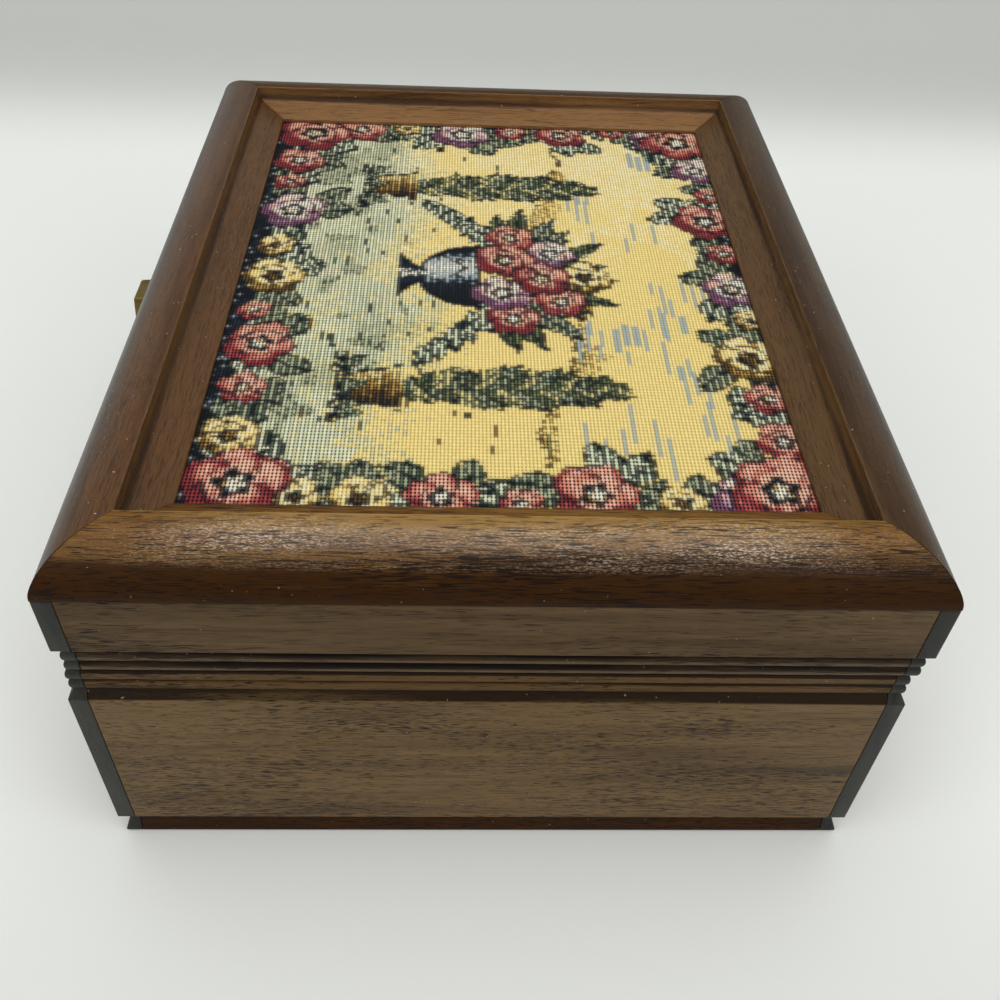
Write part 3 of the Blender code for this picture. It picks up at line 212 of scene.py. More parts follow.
def woodRecipe(name, grain, look):
    # Everything is noise drawn out along the grain, X or Y, on coordinates that wander a little
    scales = woodScales
    recipe = Recipe(name, roughness=look["roughness"], Specular_IOR_Level=look["specular"])
    wander = recipe.noise(recipe.stretched(scales["wander"], look["seed"])) - 0.5
    places = recipe.moved(recipe.places(), wander * look["flow"], "Y" if grain == "X" else "X")

    def grained(along, across, offset=0.0):
        scale = (along, across, across) if grain == "X" else (across, along, across)
        return recipe.stretched(scale, look["seed"] + offset, places)

    figure = recipe.noise(grained(scales["figure"], look["figureScale"]), distortion=0.4)
    streak = recipe.noise(grained(scales["streak"], look["streakScale"], 3.0), 3.0, 0.55)
    fibre = recipe.noise(grained(*scales["fibre"], 5.0), 2.0, 0.6)
    crowd = recipe.noise(grained(*scales["crowd"], 7.0))
    pore = recipe.noise(grained(look["poreLength"], look["poreWidth"], 9.0), 1.0)
    pore = (pore + crowd * 0.5 - 0.25).between(look["poreEdge"], look["poreEdge"] + 0.07)
    line = recipe.noise(grained(*scales["line"], 17.0), 1.0).between(0.57, 0.66)
    speck = recipe.noise(recipe.stretched(scales["speck"], look["seed"]), 0.0).between(0.85, 0.87)
    tone = figure * look["figure"] + streak * look["streak"] + fibre * look["fibre"]
    tone = tone / (look["figure"] + look["streak"] + look["fibre"])
    colour = recipe.ramp(tone, *zip((0.34, 0.5, 0.66), map(paint, look["tones"])))
    broken = (streak + figure - 1.0) * 1.6
    for key in ("glow", "shade"):  # where the mesh says so, painted light and painted shade go into the colour
        if key in look:
            amount = recipe.mark(key)
            if key == "shade":
                amount = (amount + broken).between(0.1, 0.9)
            colour = recipe.mix(amount * look[key], colour, paint(look[key + "Colour"]))
    if "glint" in look:  # a painted highlight of pale flecks on the crown, which also carries a real coat of gloss
        fine = recipe.noise(grained(*scales["fine"], 11.0), 2.0, 0.7).between(0.47, 0.64)
        patch = recipe.noise(grained(*scales["patch"], 13.0)).between(0.38, 0.64)
        crown = recipe.mark("crown") * (patch + 0.16)
        colour = recipe.mix(crown * fine * look["glint"], colour, paint(look["glintColour"]))
        recipe.feed("Coat Weight", recipe.mark("crown") * look["gloss"])
        recipe.feed("Coat Roughness", 0.25)
    colour = recipe.mix(line * look["line"], colour, paint(look["poreColour"]))
    colour = recipe.mix(pore * look["pore"], colour, paint(look["poreColour"]))
    recipe.feed("Base Color", recipe.mix(speck * look["dust"], colour, paint("#b9b2a4")))
    recipe.feed("Roughness", fibre * look["sparkle"] + streak * 0.1 + (look["roughness"] - 0.1))
    grit = recipe.cloud(scales["grit"], 2.0, 0.7)
    recipe.bump(fibre * 0.3 + grit * look["grit"] - pore * 0.8, 0.0001, look["bump"])
    return recipe.material


baseLook = dict(roughness=0.42, specular=0.11, figureScale=60.0, streakScale=330.0, seed=1.0,
                flow=0.004, poreEdge=0.6, poreLength=270.0, poreWidth=3300.0, figure=1.0, streak=0.8,
                fibre=0.4, pore=0.9, line=0.5, poreColour="#1c1109", dust=0.4, bump=0.5, grit=0.3,
                sparkle=0.1)


def woodLook(**changes):
    return {**baseLook, **changes}


def quietFrame(**changes):  # the mouldings with only a faint painted highlight on the crown, and painted shade
    look = dict(shade=0.8, shadeColour="#241204", grit=0.5, dust=0.8, glint=0.14,
                glintColour="#b89a7c", gloss=0.1)
    return woodLook(**{**look, **changes})


# In each look, the amounts and colours of light and shade are painted light and painted shade put into
# the colour, and the glint is a painted highlight
woods = {
    "panel": woodLook(tones=("#4f3c24", "#6e5636", "#856a45"), poreEdge=0.59, glow=0.75,
                      glowColour="#5c4220", shade=0.95, shadeColour="#1f1206"),
    "band": woodLook(tones=("#4a3822", "#634e35", "#776043"), seed=3.0, poreEdge=0.61, specular=0.08,
                     poreLength=170.0, glow=0.7, glowColour="#6a5a46", shade=1.0,
                     shadeColour="#130b05"),
    "plinth": woodLook(tones=("#24140a", "#3a220e", "#4c2f14"), seed=5.0, specular=0.08),
    "frameFront": woodLook(tones=("#3c210b", "#69451c", "#96702f"), seed=7.0, streak=1.3, fibre=0.6,
                           glow=0.7, glowColour="#a27d42", poreEdge=0.57, poreLength=130.0,
                           flow=0.007, shade=0.95, shadeColour="#341b04", specular=0.08,
                           roughness=0.3, grit=1.0, bump=1.0, line=0.65, glint=0.75,
                           glintColour="#dcc8b2", gloss=0.5),
    "frameLong": quietFrame(tones=("#3c230d", "#553517", "#6c4824"), seed=13.0, glow=0.4,
                            glowColour="#7a5a38", roughness=0.32, specular=0.25, pore=0.4),
    "frameBack": quietFrame(tones=("#2f2012", "#45301d", "#5b442d"), seed=17.0, glow=0.5,
                            glowColour="#7c5c3a", shadeColour="#1f1005", roughness=0.36,
                            specular=0.12, pore=0.4, glint=0.12, glintColour="#a08c78", gloss=0.05),
    "frameSide": quietFrame(tones=("#301f0e", "#442d17", "#573d23"), seed=11.0, glow=0.8,
                            glowColour="#85603a", roughness=0.34, specular=0.14, pore=0.3, dust=0.6),
}


def endGrainRecipe():
    # Sawn ends: small open pores and faint growth rings in a dark, dull stain
    recipe = Recipe("end_grain", Specular_IOR_Level=0.25)
    rings = recipe.cloud((60.0, 260.0, 60.0), 3.0, 0.6, 0.4)
    dots = recipe.cloud(1700.0, 1.0).between(0.62, 0.7)
    colour = recipe.toned(rings, "#21211e", "#36362f")
    recipe.feed("Base Color", recipe.mix(dots * 0.6, colour, paint("#131310")))
    recipe.feed("Roughness", rings * 0.2 + 0.35)
    recipe.bump(rings * 0.4 - dots, 0.00006, 0.6)
    return recipe.material


def velvetRecipe(name, dark, light):
    # A short pile: a broken up sheen over a deep colour, brushed in soft patches
    recipe = Recipe(name, roughness=0.95, Sheen_Weight=0.6, Sheen_Roughness=0.4)
    recipe.feed("Sheen Tint", paint(light))
    brushed = recipe.cloud(34.0, 2.0, 0.5, 0.3)
    pile = recipe.cloud(1900.0, 2.0, 0.7)
    recipe.feed("Base Color", recipe.toned(brushed * 0.45 + pile * 0.55, dark, light, 0.36, 0.64))
    recipe.bump(pile + brushed * 0.3, 0.00012, 0.5)
    return recipe.material


def metalRecipe(name, dark, light, roughness, brush, spots):
    # Brushed metal: fine lines along one axis, with duller patches where it has tarnished
    recipe = Recipe(name, Metallic=1.0)
    lines = recipe.cloud(brush, 2.0, 0.6)
    tarnish = recipe.cloud(160.0, 4.0, 0.6, 0.5)
    recipe.feed("Base Color", recipe.toned(tarnish * 0.7 + lines * 0.3, dark, light, 0.35, 0.62))
    recipe.feed("Roughness", tarnish.between(0.45, 0.75) * spots + lines * 0.12 + roughness)
    recipe.bump(lines, 0.00003, 0.4)
    return recipe.material


def castRecipe():
    # Zinc casting: a fine sand texture and slightly uneven grey
    recipe = Recipe("cast_zinc", Metallic=0.85)
    sand = recipe.cloud(1500.0, 3.0, 0.7)
    recipe.feed("Base Color", recipe.toned(recipe.cloud(90.0, 3.0), "#7d7d80", "#a3a3a6"))
    recipe.feed("Roughness", sand * 0.25 + 0.4)
    recipe.bump(sand, 0.00008, 0.5)
    return recipe.material


def boardRecipe():
    # Grey board: short paper fibres lying every way
    recipe = Recipe("grey_board", roughness=0.9)
    fibres = recipe.cloud((700.0, 2200.0, 1500.0), 3.0, 0.7, 1.2)
    tone = fibres * 0.6 + recipe.cloud(45.0) * 0.4
    recipe.feed("Base Color", recipe.toned(tone, "#8f887a", "#b3ac9c"))
    recipe.bump(fibres, 0.0001, 0.4)
    return recipe.material


def mirrorRecipe():
    # Silvered glass with a few dust specks
    recipe = Recipe("mirror_glass", paint("#dfe3e2"), 0.03, Metallic=1.0)
    dust = recipe.cloud(1600.0, 1.0).between(0.76, 0.8)
    bloom = recipe.cloud(30.0, 3.0).between(0.4, 0.8)
    recipe.feed("Roughness", dust * 0.2 + bloom * 0.03 + 0.02)
    return recipe.material


def clearRecipe():
    # Moulded clear plastic, a little hazed and scratched
    recipe = Recipe("clear_hood", paint("#f2f5f5"), 0.05, Specular_IOR_Level=0.8)
    haze = recipe.cloud(60.0, 3.0).between(0.45, 0.75)
    scratch = recipe.cloud((60.0, 2600.0, 900.0)).between(0.7, 0.76)
    recipe.feed("Roughness", haze * 0.08 + scratch * 0.2 + 0.04)
    recipe.feed("Alpha", haze * 0.02 + scratch * 0.06 + 0.04)
    return recipe.material


def clothRecipe(corner, stitchPitch, ribPitch):
    # The ribs run along X. What lies between the stitches, partly the colour beneath and partly painted
    # shade, shows in the valleys between two ribs, in a thin line between two stitches, and in a dot
    # where four stitches meet
    weave = dict(ribGap=0.45, ribEdge=(0.42, 0.58), stitchGap=0.6, stitchEdge=(0.44, 0.6),
                 dots=0.36, dotGain=1.4, dotSize=0.29, dotUneven=0.06, fuzz=0.2)
    recipe = Recipe("woven_cloth", roughness=0.95, Specular_IOR_Level=0.2)
    yarn = recipe.mark("yarn", "Color")
    between = recipe.mark("between", "Color")
    strength = recipe.mark("between", "Alpha")
    rib = (((recipe.axis("Y") - corner.y) / ribPitch).part() - 0.5).size()
    stitch = (((recipe.axis("X") - corner.x) / stitchPitch).part() - 0.5).size()
    fuzz = recipe.cloud(2300.0, 2.0, 0.7)
    ribEdge = (rib + fuzz * weave["fuzz"]).between(*weave["ribEdge"])
    stitchEdge = (stitch + fuzz * weave["fuzz"]).between(*weave["stitchEdge"])
    ribFar, stitchFar = 0.5 - rib, 0.5 - stitch
    far = ribFar * ribFar + stitchFar * stitchFar + (fuzz - 0.5) * weave["dotUneven"]
    dot = 1.0 - far.between(weave["dotSize"] ** 2 - 0.03, weave["dotSize"] ** 2 + 0.05)
    dot = dot * (strength * weave["dotGain"] + weave["dots"])
    shown = (1.0 - dot) * (1.0 - ribEdge * weave["ribGap"])
    shown = shown * (1.0 - stitchEdge * strength * weave["stitchGap"])
    recipe.feed("Base Color", recipe.mix(1.0 - shown, yarn, between))
    recipe.bump(fuzz * 0.5 - ribEdge * 0.7 - stitchEdge * 0.4 - dot * 0.6, 0.0002, 0.6)
    return recipe.material


materials = {
    "endGrain": endGrainRecipe(),
    "velvet": velvetRecipe("red_velvet", "#470810", "#831826"),
    "brass": metalRecipe("aged_brass", "#4a3d20", "#83713f", 0.26, (60.0, 60.0, 900.0), 0.25),
    "brightBrass": metalRecipe("bright_brass", "#a88339", "#d8b765", 0.2, (2200.0, 90.0, 90.0), 0.12),
    "steel": metalRecipe("bright_steel", "#8d8e92", "#c3c4c8", 0.2, (90.0, 1800.0, 90.0), 0.1),
    "cast": castRecipe(),
    "board": boardRecipe(),
    "mirror": mirrorRecipe(),
    "clear": clearRecipe(),
}
for part, look in woods.items():
    for grain in "XY":
        materials[part + grain] = woodRecipe(f"walnut_{part}_{grain}", grain, look)
print("materials made:", len(materials))

# Mesh building


def settle(name, mesh, body, replaced):
    # The object of a finished mesh: the body it moves with and the nodes it stands for
    made = linked(name, mesh)
    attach(made, body)
    if replaced:
        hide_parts(*replaced)
    return made


def faceOutward(mesh, merge=0.0):
    # All faces turned outward, after points closer than merge have been made one
    work = bmesh.new()
    work.from_mesh(mesh)
    if merge:
        bmesh.ops.remove_doubles(work, verts=work.verts, dist=merge)
    bmesh.ops.recalc_face_normals(work, faces=work.faces)
    work.to_mesh(mesh)
    work.free()


def putPiece(name, points, faces, finishes, body, slotName, finishOf=None, marks=None, sharp=40.0,
             replaced=()):
    # points is an array of places; faces a list of index lists
    mesh = bpy.data.meshes.new(name)
    mesh.from_pydata(np.asarray(points, float).reshape(-1, 3).tolist(), [], faces)
    for finish in finishes:
        mesh.materials.append(materials[finish])
    if finishOf is not None:
        mesh.polygons.foreach_set("material_index", np.asarray(finishOf, np.int32))
    for key, values in (marks or {}).items():
        layer = mesh.attributes.new(key, "FLOAT", "POINT")
        layer.data.foreach_set("value", np.asarray(values, np.float32).ravel())
    faceOutward(mesh, merge=1e-7)
    mesh.shade_smooth()
    mesh.set_sharp_from_angle(angle=math.radians(sharp))
    return settle(name, mesh, body, replaced)


def gridFaces(rows, columns, loop=False):
    # Quads between neighbours of a grid of rows, closed across its columns when it is a loop
    across = columns if loop else columns - 1
    i, j = np.meshgrid(np.arange(rows - 1), np.arange(across), indexing="ij")
    k = (j + 1) % columns
    quads = [i * columns + j, i * columns + k, (i + 1) * columns + k, (i + 1) * columns + j]
    return np.stack(quads, -1).reshape(-1, 4).tolist()


def tube(rings):
    # rings is rows x points x 3: one closed ring per row, with a flat face over each end
    rows, columns = rings.shape[:2]
    faces = gridFaces(rows, columns, loop=True)
    faces.append(list(range(columns)))
    faces.append([(rows - 1) * columns + k for k in range(columns)])
    return rings.reshape(-1, 3), faces


def crowned(low, high, columns, rows, power):
    # A grid over a box, and a swell on it, which is 0 along the rim and 1 in the middle
    gx, gy = np.meshgrid(np.linspace(low.x, high.x, columns + 1),
                         np.linspace(low.y, high.y, rows + 1), indexing="ij")
    u = 2 * (gx - low.x) / (high.x - low.x) - 1
    v = 2 * (gy - low.y) / (high.y - low.y) - 1
    return gx, gy, (1 - np.abs(u) ** power) * (1 - np.abs(v) ** power)


def slab(top, underZ):
    # top is a grid of places; its rim is carried straight to the height underZ and closed there
    rows, columns = top.shape[:2]
    index = np.arange(rows * columns).reshape(rows, columns)
    rim = np.concatenate([index[:, 0], index[-1, 1:], index[-2::-1, -1], index[0, -2:0:-1]])
    points = top.reshape(-1, 3)
    under = points[rim].copy()
    under[:, 2] = underZ
    own = len(points) + np.arange(len(rim))
    sides = np.stack([rim, np.roll(rim, -1), np.roll(own, -1), own], 1)
    return np.concatenate([points, under]), gridFaces(rows, columns) + sides.tolist() + [own.tolist()]


def along(path, spacing):
    # Points at even spacing along a polyline, with its corners kept
    path = np.asarray(path, float)
    pieces = []
    for start, end in zip(path[:-1], path[1:]):
        steps = max(1, int(round(np.linalg.norm(end - start) / spacing)))
        share = np.arange(steps)[:, None] / steps
        pieces.append(start + (end - start) * share)
    pieces.append(path[-1:])
    return np.concatenate(pieces)


def softened(path, reach):
    # Each point but the two ends moves to the mean of its neighbours, weighted by a bell curve of the
    # distance along the path
    path = np.asarray(path, float)
    step = np.linalg.norm(np.diff(path, axis=0), axis=1)
    place = np.concatenate([[0.0], np.cumsum(step)])
    apart = np.abs(place[:, None] - place[None, :])
    own = np.concatenate([[step[0] / 2], (step[1:] + step[:-1]) / 2, [step[-1] / 2]])
    weight = np.exp(-0.5 * (apart / reach) ** 2) * own[None, :]
    out = weight @ path / weight.sum(1, keepdims=True)
    out[0], out[-1] = path[0], path[-1]
    return out


def waves(places, size, seed, count=5):
    # A slow wander: a sum of sines of the places with random directions and phases
    random = np.random.default_rng(seed)
    total = np.zeros(places.shape[:-1])
    for _ in range(count):
        direction = random.normal(size=places.shape[-1]) * random.uniform(25, 90)
        total += np.sin(places @ direction + random.uniform(0, 2 * math.pi))
    return total / count * size


# Lid frame

lidFrame = dict(bullnoseWidth=0.0145, bullnosePower=1.8, arrisInset=0.0165, arrisDrop=0.0003,
                quirk=0.001, coveWidth=0.0039, coveDrop=0.0042, coveAngle=74.0, slopeWidth=0.0057,
                slopeDrop=0.0017, width=0.0262, lipDrop=0.0077, lipThickness=0.001,
                rebateInset=0.021, softening=0.00014, mitreGap=0.00005, unevenness=0.00005,
                spacing=0.00022, stations=90, mitreEase=0.00012, mitreReach=0.0004, calmReach=0.01,
                evenFrom=0.005, waveAlong=6, waveAcross=40, footPoints=6)

# Where painted light and painted shade lie on the mouldings: insets and rises from the outer foot,
# distances from the mitres, and the lengths over which each comes and goes
paintedLightPlaces = dict(arrisFade=0.0004, lipFade=0.001, crest=0.0045, crestFade=0.0035, crestRise=0.004,
            crestGlow=0.45, mostGlow=1.7, shadeRise=0.0119, shadeFade=0.005, shadeInset=0.008,
            quirkShade=0.8, quirkMiddle=0.0008, quirkFade=0.0007, topLightInset=0.009,
            topLightFade=0.003, crownRise=0.0068, crownRiseFade=0.003, crownInset=0.0166,
            crownInsetFade=0.005, endLight=0.15, endDistance=0.012, endFade=0.03)


def ramped(value, start, length):
    # 0 up to start and 1 from a length beyond it, straight in between; a negative length runs back
    return np.clip((value - start) / length, 0, 1)


def bell(value, middle, width):
    return np.exp(-((value - middle) / width) ** 2)


def frameSection(low, high):
    # (inset, height) from the outer foot over the bullnose, the flat, the cove and the lip, and back
    # along the rebate. The bullnose is a superellipse: inset a(1 - cos(t)^(2/p)), height b sin(t)^(2/p)
    s = lidFrame
    turn = np.linspace(0, math.pi / 2, 56)
    inset = s["bullnoseWidth"] * (1 - np.cos(turn) ** (2 / s["bullnosePower"]))
    bullnose = np.stack([inset, low + (high - low) * np.sin(turn) ** (2 / s["bullnosePower"])], 1)
    arris = high - s["arrisDrop"]
    flat = along([bullnose[-1], (s["arrisInset"], arris)], 0.0002)[1:]
    quirk = along([flat[-1], (s["arrisInset"], arris - s["quirk"])], 0.0001)[1:]
    turn = np.linspace(0, math.radians(s["coveAngle"]), 26)[1:]
    cove = np.stack([s["arrisInset"] + s["coveWidth"] * (1 - np.cos(turn)),
                     quirk[-1, 1] - s["coveDrop"] * np.sin(turn)], 1)
    foot = cove[-1] + (s["slopeWidth"], -s["slopeDrop"])
    lip = high - s["lipDrop"]
    under = lip - s["lipThickness"]
    rest = along([cove[-1], foot, (s["width"], lip), (s["width"], under)], s["spacing"])[1:]
    shown = softened(np.concatenate([bullnose, flat, quirk, cove, rest]), s["softening"])
    return shown, np.array([(s["rebateInset"], under), (s["rebateInset"], low)])


def frameMarks(section, low, endDistance, slopeLight, topLight):
    # Painted light at the arris, on the inner slope, on the crest and on the top of the bullnose;
    # painted shade towards the foot and in the quirk
    inset, rise = section[:, 0], section[:, 1] - low
    arris = lidFrame["arrisInset"]
    glow = bell(inset, arris, paintedLightPlaces["arrisFade"]) + slopeLight * ramped(inset, arris, paintedLightPlaces["lipFade"])
    crest = bell(inset, paintedLightPlaces["crest"], paintedLightPlaces["crestFade"]) * (rise > paintedLightPlaces["crestRise"])
    glow += paintedLightPlaces["crestGlow"] * crest
    shade = ramped(rise, paintedLightPlaces["shadeRise"], -paintedLightPlaces["shadeFade"]) * (inset < paintedLightPlaces["shadeInset"])
    shade += paintedLightPlaces["quirkShade"] * bell(inset, arris + paintedLightPlaces["quirkMiddle"], paintedLightPlaces["quirkFade"])
    topLit = topLight * ramped(inset, paintedLightPlaces["topLightInset"], paintedLightPlaces["topLightFade"]) * (inset < arris)
    crown = ramped(rise, paintedLightPlaces["crownRise"], paintedLightPlaces["crownRiseFade"])
    crown *= ramped(inset, paintedLightPlaces["crownInset"], -paintedLightPlaces["crownInsetFade"])
    # the painted highlight grows weaker near the mitres
    lightAwayFromEnds = ramped(endDistance, paintedLightPlaces["endDistance"], paintedLightPlaces["endFade"])
    lightAwayFromEnds = paintedLightPlaces["endLight"] + (1 - paintedLightPlaces["endLight"]) * lightAwayFromEnds
    return {"glow": np.clip(glow + lightAwayFromEnds * topLit, 0, paintedLightPlaces["mostGlow"]),
            "shade": np.ones_like(endDistance) * np.clip(shade, 0, 1), "crown": lightAwayFromEnds * crown}


def makeFrameStrip(name, alongX, side, finish, seed, slopeLight=0.0, topLight=0.0):
    # The section at stations along the strip; each station reaches the mitre in step with its inset
    low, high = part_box(name)
    left, right, front, back = (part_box("frame_" + word) for word in ("left", "right", "front", "back"))
    middleY = (front[0].y + back[1].y) / 2
    halfX, halfY = right[1].x, (back[1].y - front[0].y) / 2
    longHalf, wideHalf = (halfX, halfY) if alongX else (halfY, halfX)
    s = lidFrame
    shown, hidden = frameSection(low.z, high.z)
    section = np.concatenate([shown, hidden])
    normal = np.zeros_like(section)
    run = np.gradient(shown, axis=0)
    normal[:len(shown)] = np.stack([-run[:, 1], run[:, 0]], 1) / np.linalg.norm(run, axis=1)[:, None]
    near = np.array([0.0, 0.0001, 0.00025, 0.0006, 0.0012, 0.003])
    middle = np.linspace(s["evenFrom"], 2 * longHalf - s["evenFrom"], s["stations"])
    stations = np.concatenate([near, middle, (2 * longHalf - near)[::-1]]) - longHalf
    reach = longHalf - section[:, 0] - s["mitreGap"]
    a = (stations / longHalf)[:, None] * reach[None, :]
    endDistance = (longHalf - np.abs(stations))[:, None]
    # The surface is a little uneven, always inward, and eased at the mitres; the foot stays
    inward = s["mitreEase"] * np.clip(1 - endDistance / s["mitreReach"], 0, 1) ** 2
    places = [a * s["waveAlong"]]
    places += [np.broadcast_to(section[:, k] * s["waveAcross"], a.shape) for k in (0, 1)]
    calm = np.clip(endDistance / s["calmReach"], 0, 1)
    push = waves(np.stack(places, -1), s["unevenness"], seed) * calm - inward
    foot = np.clip(np.arange(len(section)) / s["footPoints"], 0, 1)[None, :]
    push = np.minimum(push * foot, 0.0)
    inset = section[None, :, 0] - push * normal[None, :, 0]
    height = section[None, :, 1] + push * normal[None, :, 1]
    b = side * (wideHalf - inset)
    x, y = (a, b) if alongX else (b, a)
    points, faces = tube(np.stack([x, y + middleY, height], -1))
    marks = frameMarks(section, low.z, endDistance, slopeLight, topLight)
    putPiece(name + "_moulding", points, faces, [finish], "lid", "walnut", marks=marks, replaced=[name])


# The last number of each strip is how much painted light lies on its inner slope, or on the top of its
# bullnose
makeFrameStrip("frame_front", True, -1, "frameLongX", 21, slopeLight=0.5)
makeFrameStrip("frame_back", True, 1, "frameBackX", 22, slopeLight=0.8)
makeFrameStrip("frame_left", False, -1, "frameSideY", 23, slopeLight=1.6)
makeFrameStrip("frame_right", False, 1, "frameFrontY", 24, topLight=1.0)
print("lid frame made")

# Case boards

boards = dict(wall=0.008, plinthWidth=0.016, tongue=0.00464, jointGap=0.0002, reedCount=2,
              reedDepth=0.0008, grooveInset=0.0018, shoulderInset=0.0015, shoulderHeight=0.0028,
              reedPitch=0.0035, lidShoulder=0.0019, softening=0.00011, edgeRadius=0.0003,
              rowSpacing=0.00022, plinthTopInset=0.0033, plinthFootInset=0.0003,
              plinthFootRadius=0.0009, easedEdge=0.0003, easedFoot=0.0004)


def reedRows(low):
    # (height, inset) of half-round reeds from one groove to the next
    pitch = boards["reedPitch"]
    turn = np.linspace(-math.pi / 2, math.pi / 2, 19)
    rows = []
    for reed in range(boards["reedCount"]):
        height = low + (reed + 0.5) * pitch + pitch / 2 * np.sin(turn)
        inset = boards["grooveInset"] - boards["reedDepth"] * np.cos(turn)
        rows.append(np.stack([height, inset], 1)[reed > 0:])
    return np.concatenate(rows)


def roundedPlan(corners, radii):
    # corners is ... x corners x 2. A corner c of radius r becomes a quarter arc between its two sides:
    # c + r((1 - sin t) before + (1 - cos t) after), with t from 0 to a right angle; r = 0 stays sharp
    arc = np.linspace(0, math.pi / 2, 5)
    arcs = [arc if radius else arc[:1] for radius in radii]
    turn = np.concatenate(arcs)[:, None]
    pick = np.repeat(np.arange(len(radii)), [len(own) for own in arcs])
    ways = [np.roll(corners, step, -2) - corners for step in (1, -1)]
    before, after = (way / np.linalg.norm(way, axis=-1, keepdims=True) for way in ways)
    cut = (1 - np.sin(turn)) * before[..., pick, :] + (1 - np.cos(turn)) * after[..., pick, :]
    return corners[..., pick, :] + np.array(radii)[pick, None] * cut


def raised(x, y, height):
    # Rings of points x, y, each at its own height
    return np.stack([x, y, np.broadcast_to(height[:, None], x.shape)], -1)


def outline(corners, inset):
    # Corners given as x and y, each one number or one for each inset, as insets x corners x 2
    return np.stack([np.stack([value + 0 * inset for value in corner], -1) for corner in corners], 1)


def rowMarks(rows, marks, count):
    # The marks of each row of the profile, given to every point of its ring
    return {key: np.repeat(np.interp(rows[:, 0], *values)[:, None], count, 1)
            for key, values in marks.items()}


def makeLongBoard(name, rows, halfX, halfY, middleY, side, thickness, finish, body, marks):
    # Rings of one outline up the milled profile; the rabbets at both ends take the end boards
    edge = boards["edgeRadius"]
    height, inset = rows.T
    outer, inner = halfX - inset, halfX - thickness
    face, tongue, back = inset - halfY, boards["tongue"] - halfY, thickness - halfY
    corners = outline([(-outer, face), (outer, face), (outer, tongue), (inner, tongue), (inner, back),
                       (-inner, back), (-inner, tongue), (-outer, tongue)], inset)
    plan = roundedPlan(corners, (edge, edge, edge / 2, 0, 0, 0, 0, edge / 2))
    points, faces = tube(raised(plan[..., 0], middleY - side * plan[..., 1], height))
    centres = points[np.array(faces[:-2])].mean(1)
    ends = np.abs(centres[:, 0]) > halfX - boards["grooveInset"] - edge * 1.2
    outside = np.abs(centres[:, 1] - middleY) > -tongue - 0.0001
    return putPiece(name + "_board", points, faces, [finish, "endGrain"], body, "walnut",
                    finishOf=np.append(ends & outside, [False, False]),
                    marks=rowMarks(rows, marks, plan.shape[1]), replaced=[name])


def makeEndBoard(name, rows, halfX, halfY, middleY, side, thickness, finish, body, marks):
    # The same profile on a board that stops behind the long boards' ends
    edge = boards["edgeRadius"] / 2
    height, inset = rows.T
    outer, inner = halfX - inset, halfX - thickness + boards["jointGap"]
    across = halfY - boards["tongue"] - boards["jointGap"]
    corners = outline([(inner, -across), (outer, -across), (outer, across), (inner, across)], inset)
    plan = roundedPlan(corners, (0, edge, edge, 0))
    points, faces = tube(raised(side * plan[..., 0], middleY + plan[..., 1], height))
    return putPiece(name + "_board", points, faces, [finish], body, "walnut",
                    marks=rowMarks(rows, marks, plan.shape[1]), replaced=[name])


def makeWalls(stem, rows, thickness, look, body, marks):
    low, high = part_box(stem + "_front")
    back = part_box(stem + "_back")[1].y
    halfX, halfY, middleY = high.x, (back - low.y) / 2, (back + low.y) / 2
    rows = softened(rows, boards["softening"])
    made = {}
    for make, grain, sides in ((makeLongBoard, "X", (("front", -1), ("back", 1))),
                               (makeEndBoard, "Y", (("left", -1), ("right", 1)))):
        for word, side in sides:
            made[word] = make(f"{stem}_{word}", rows, halfX, halfY, middleY, side, thickness,
                              look + grain, body, marks)
    return made


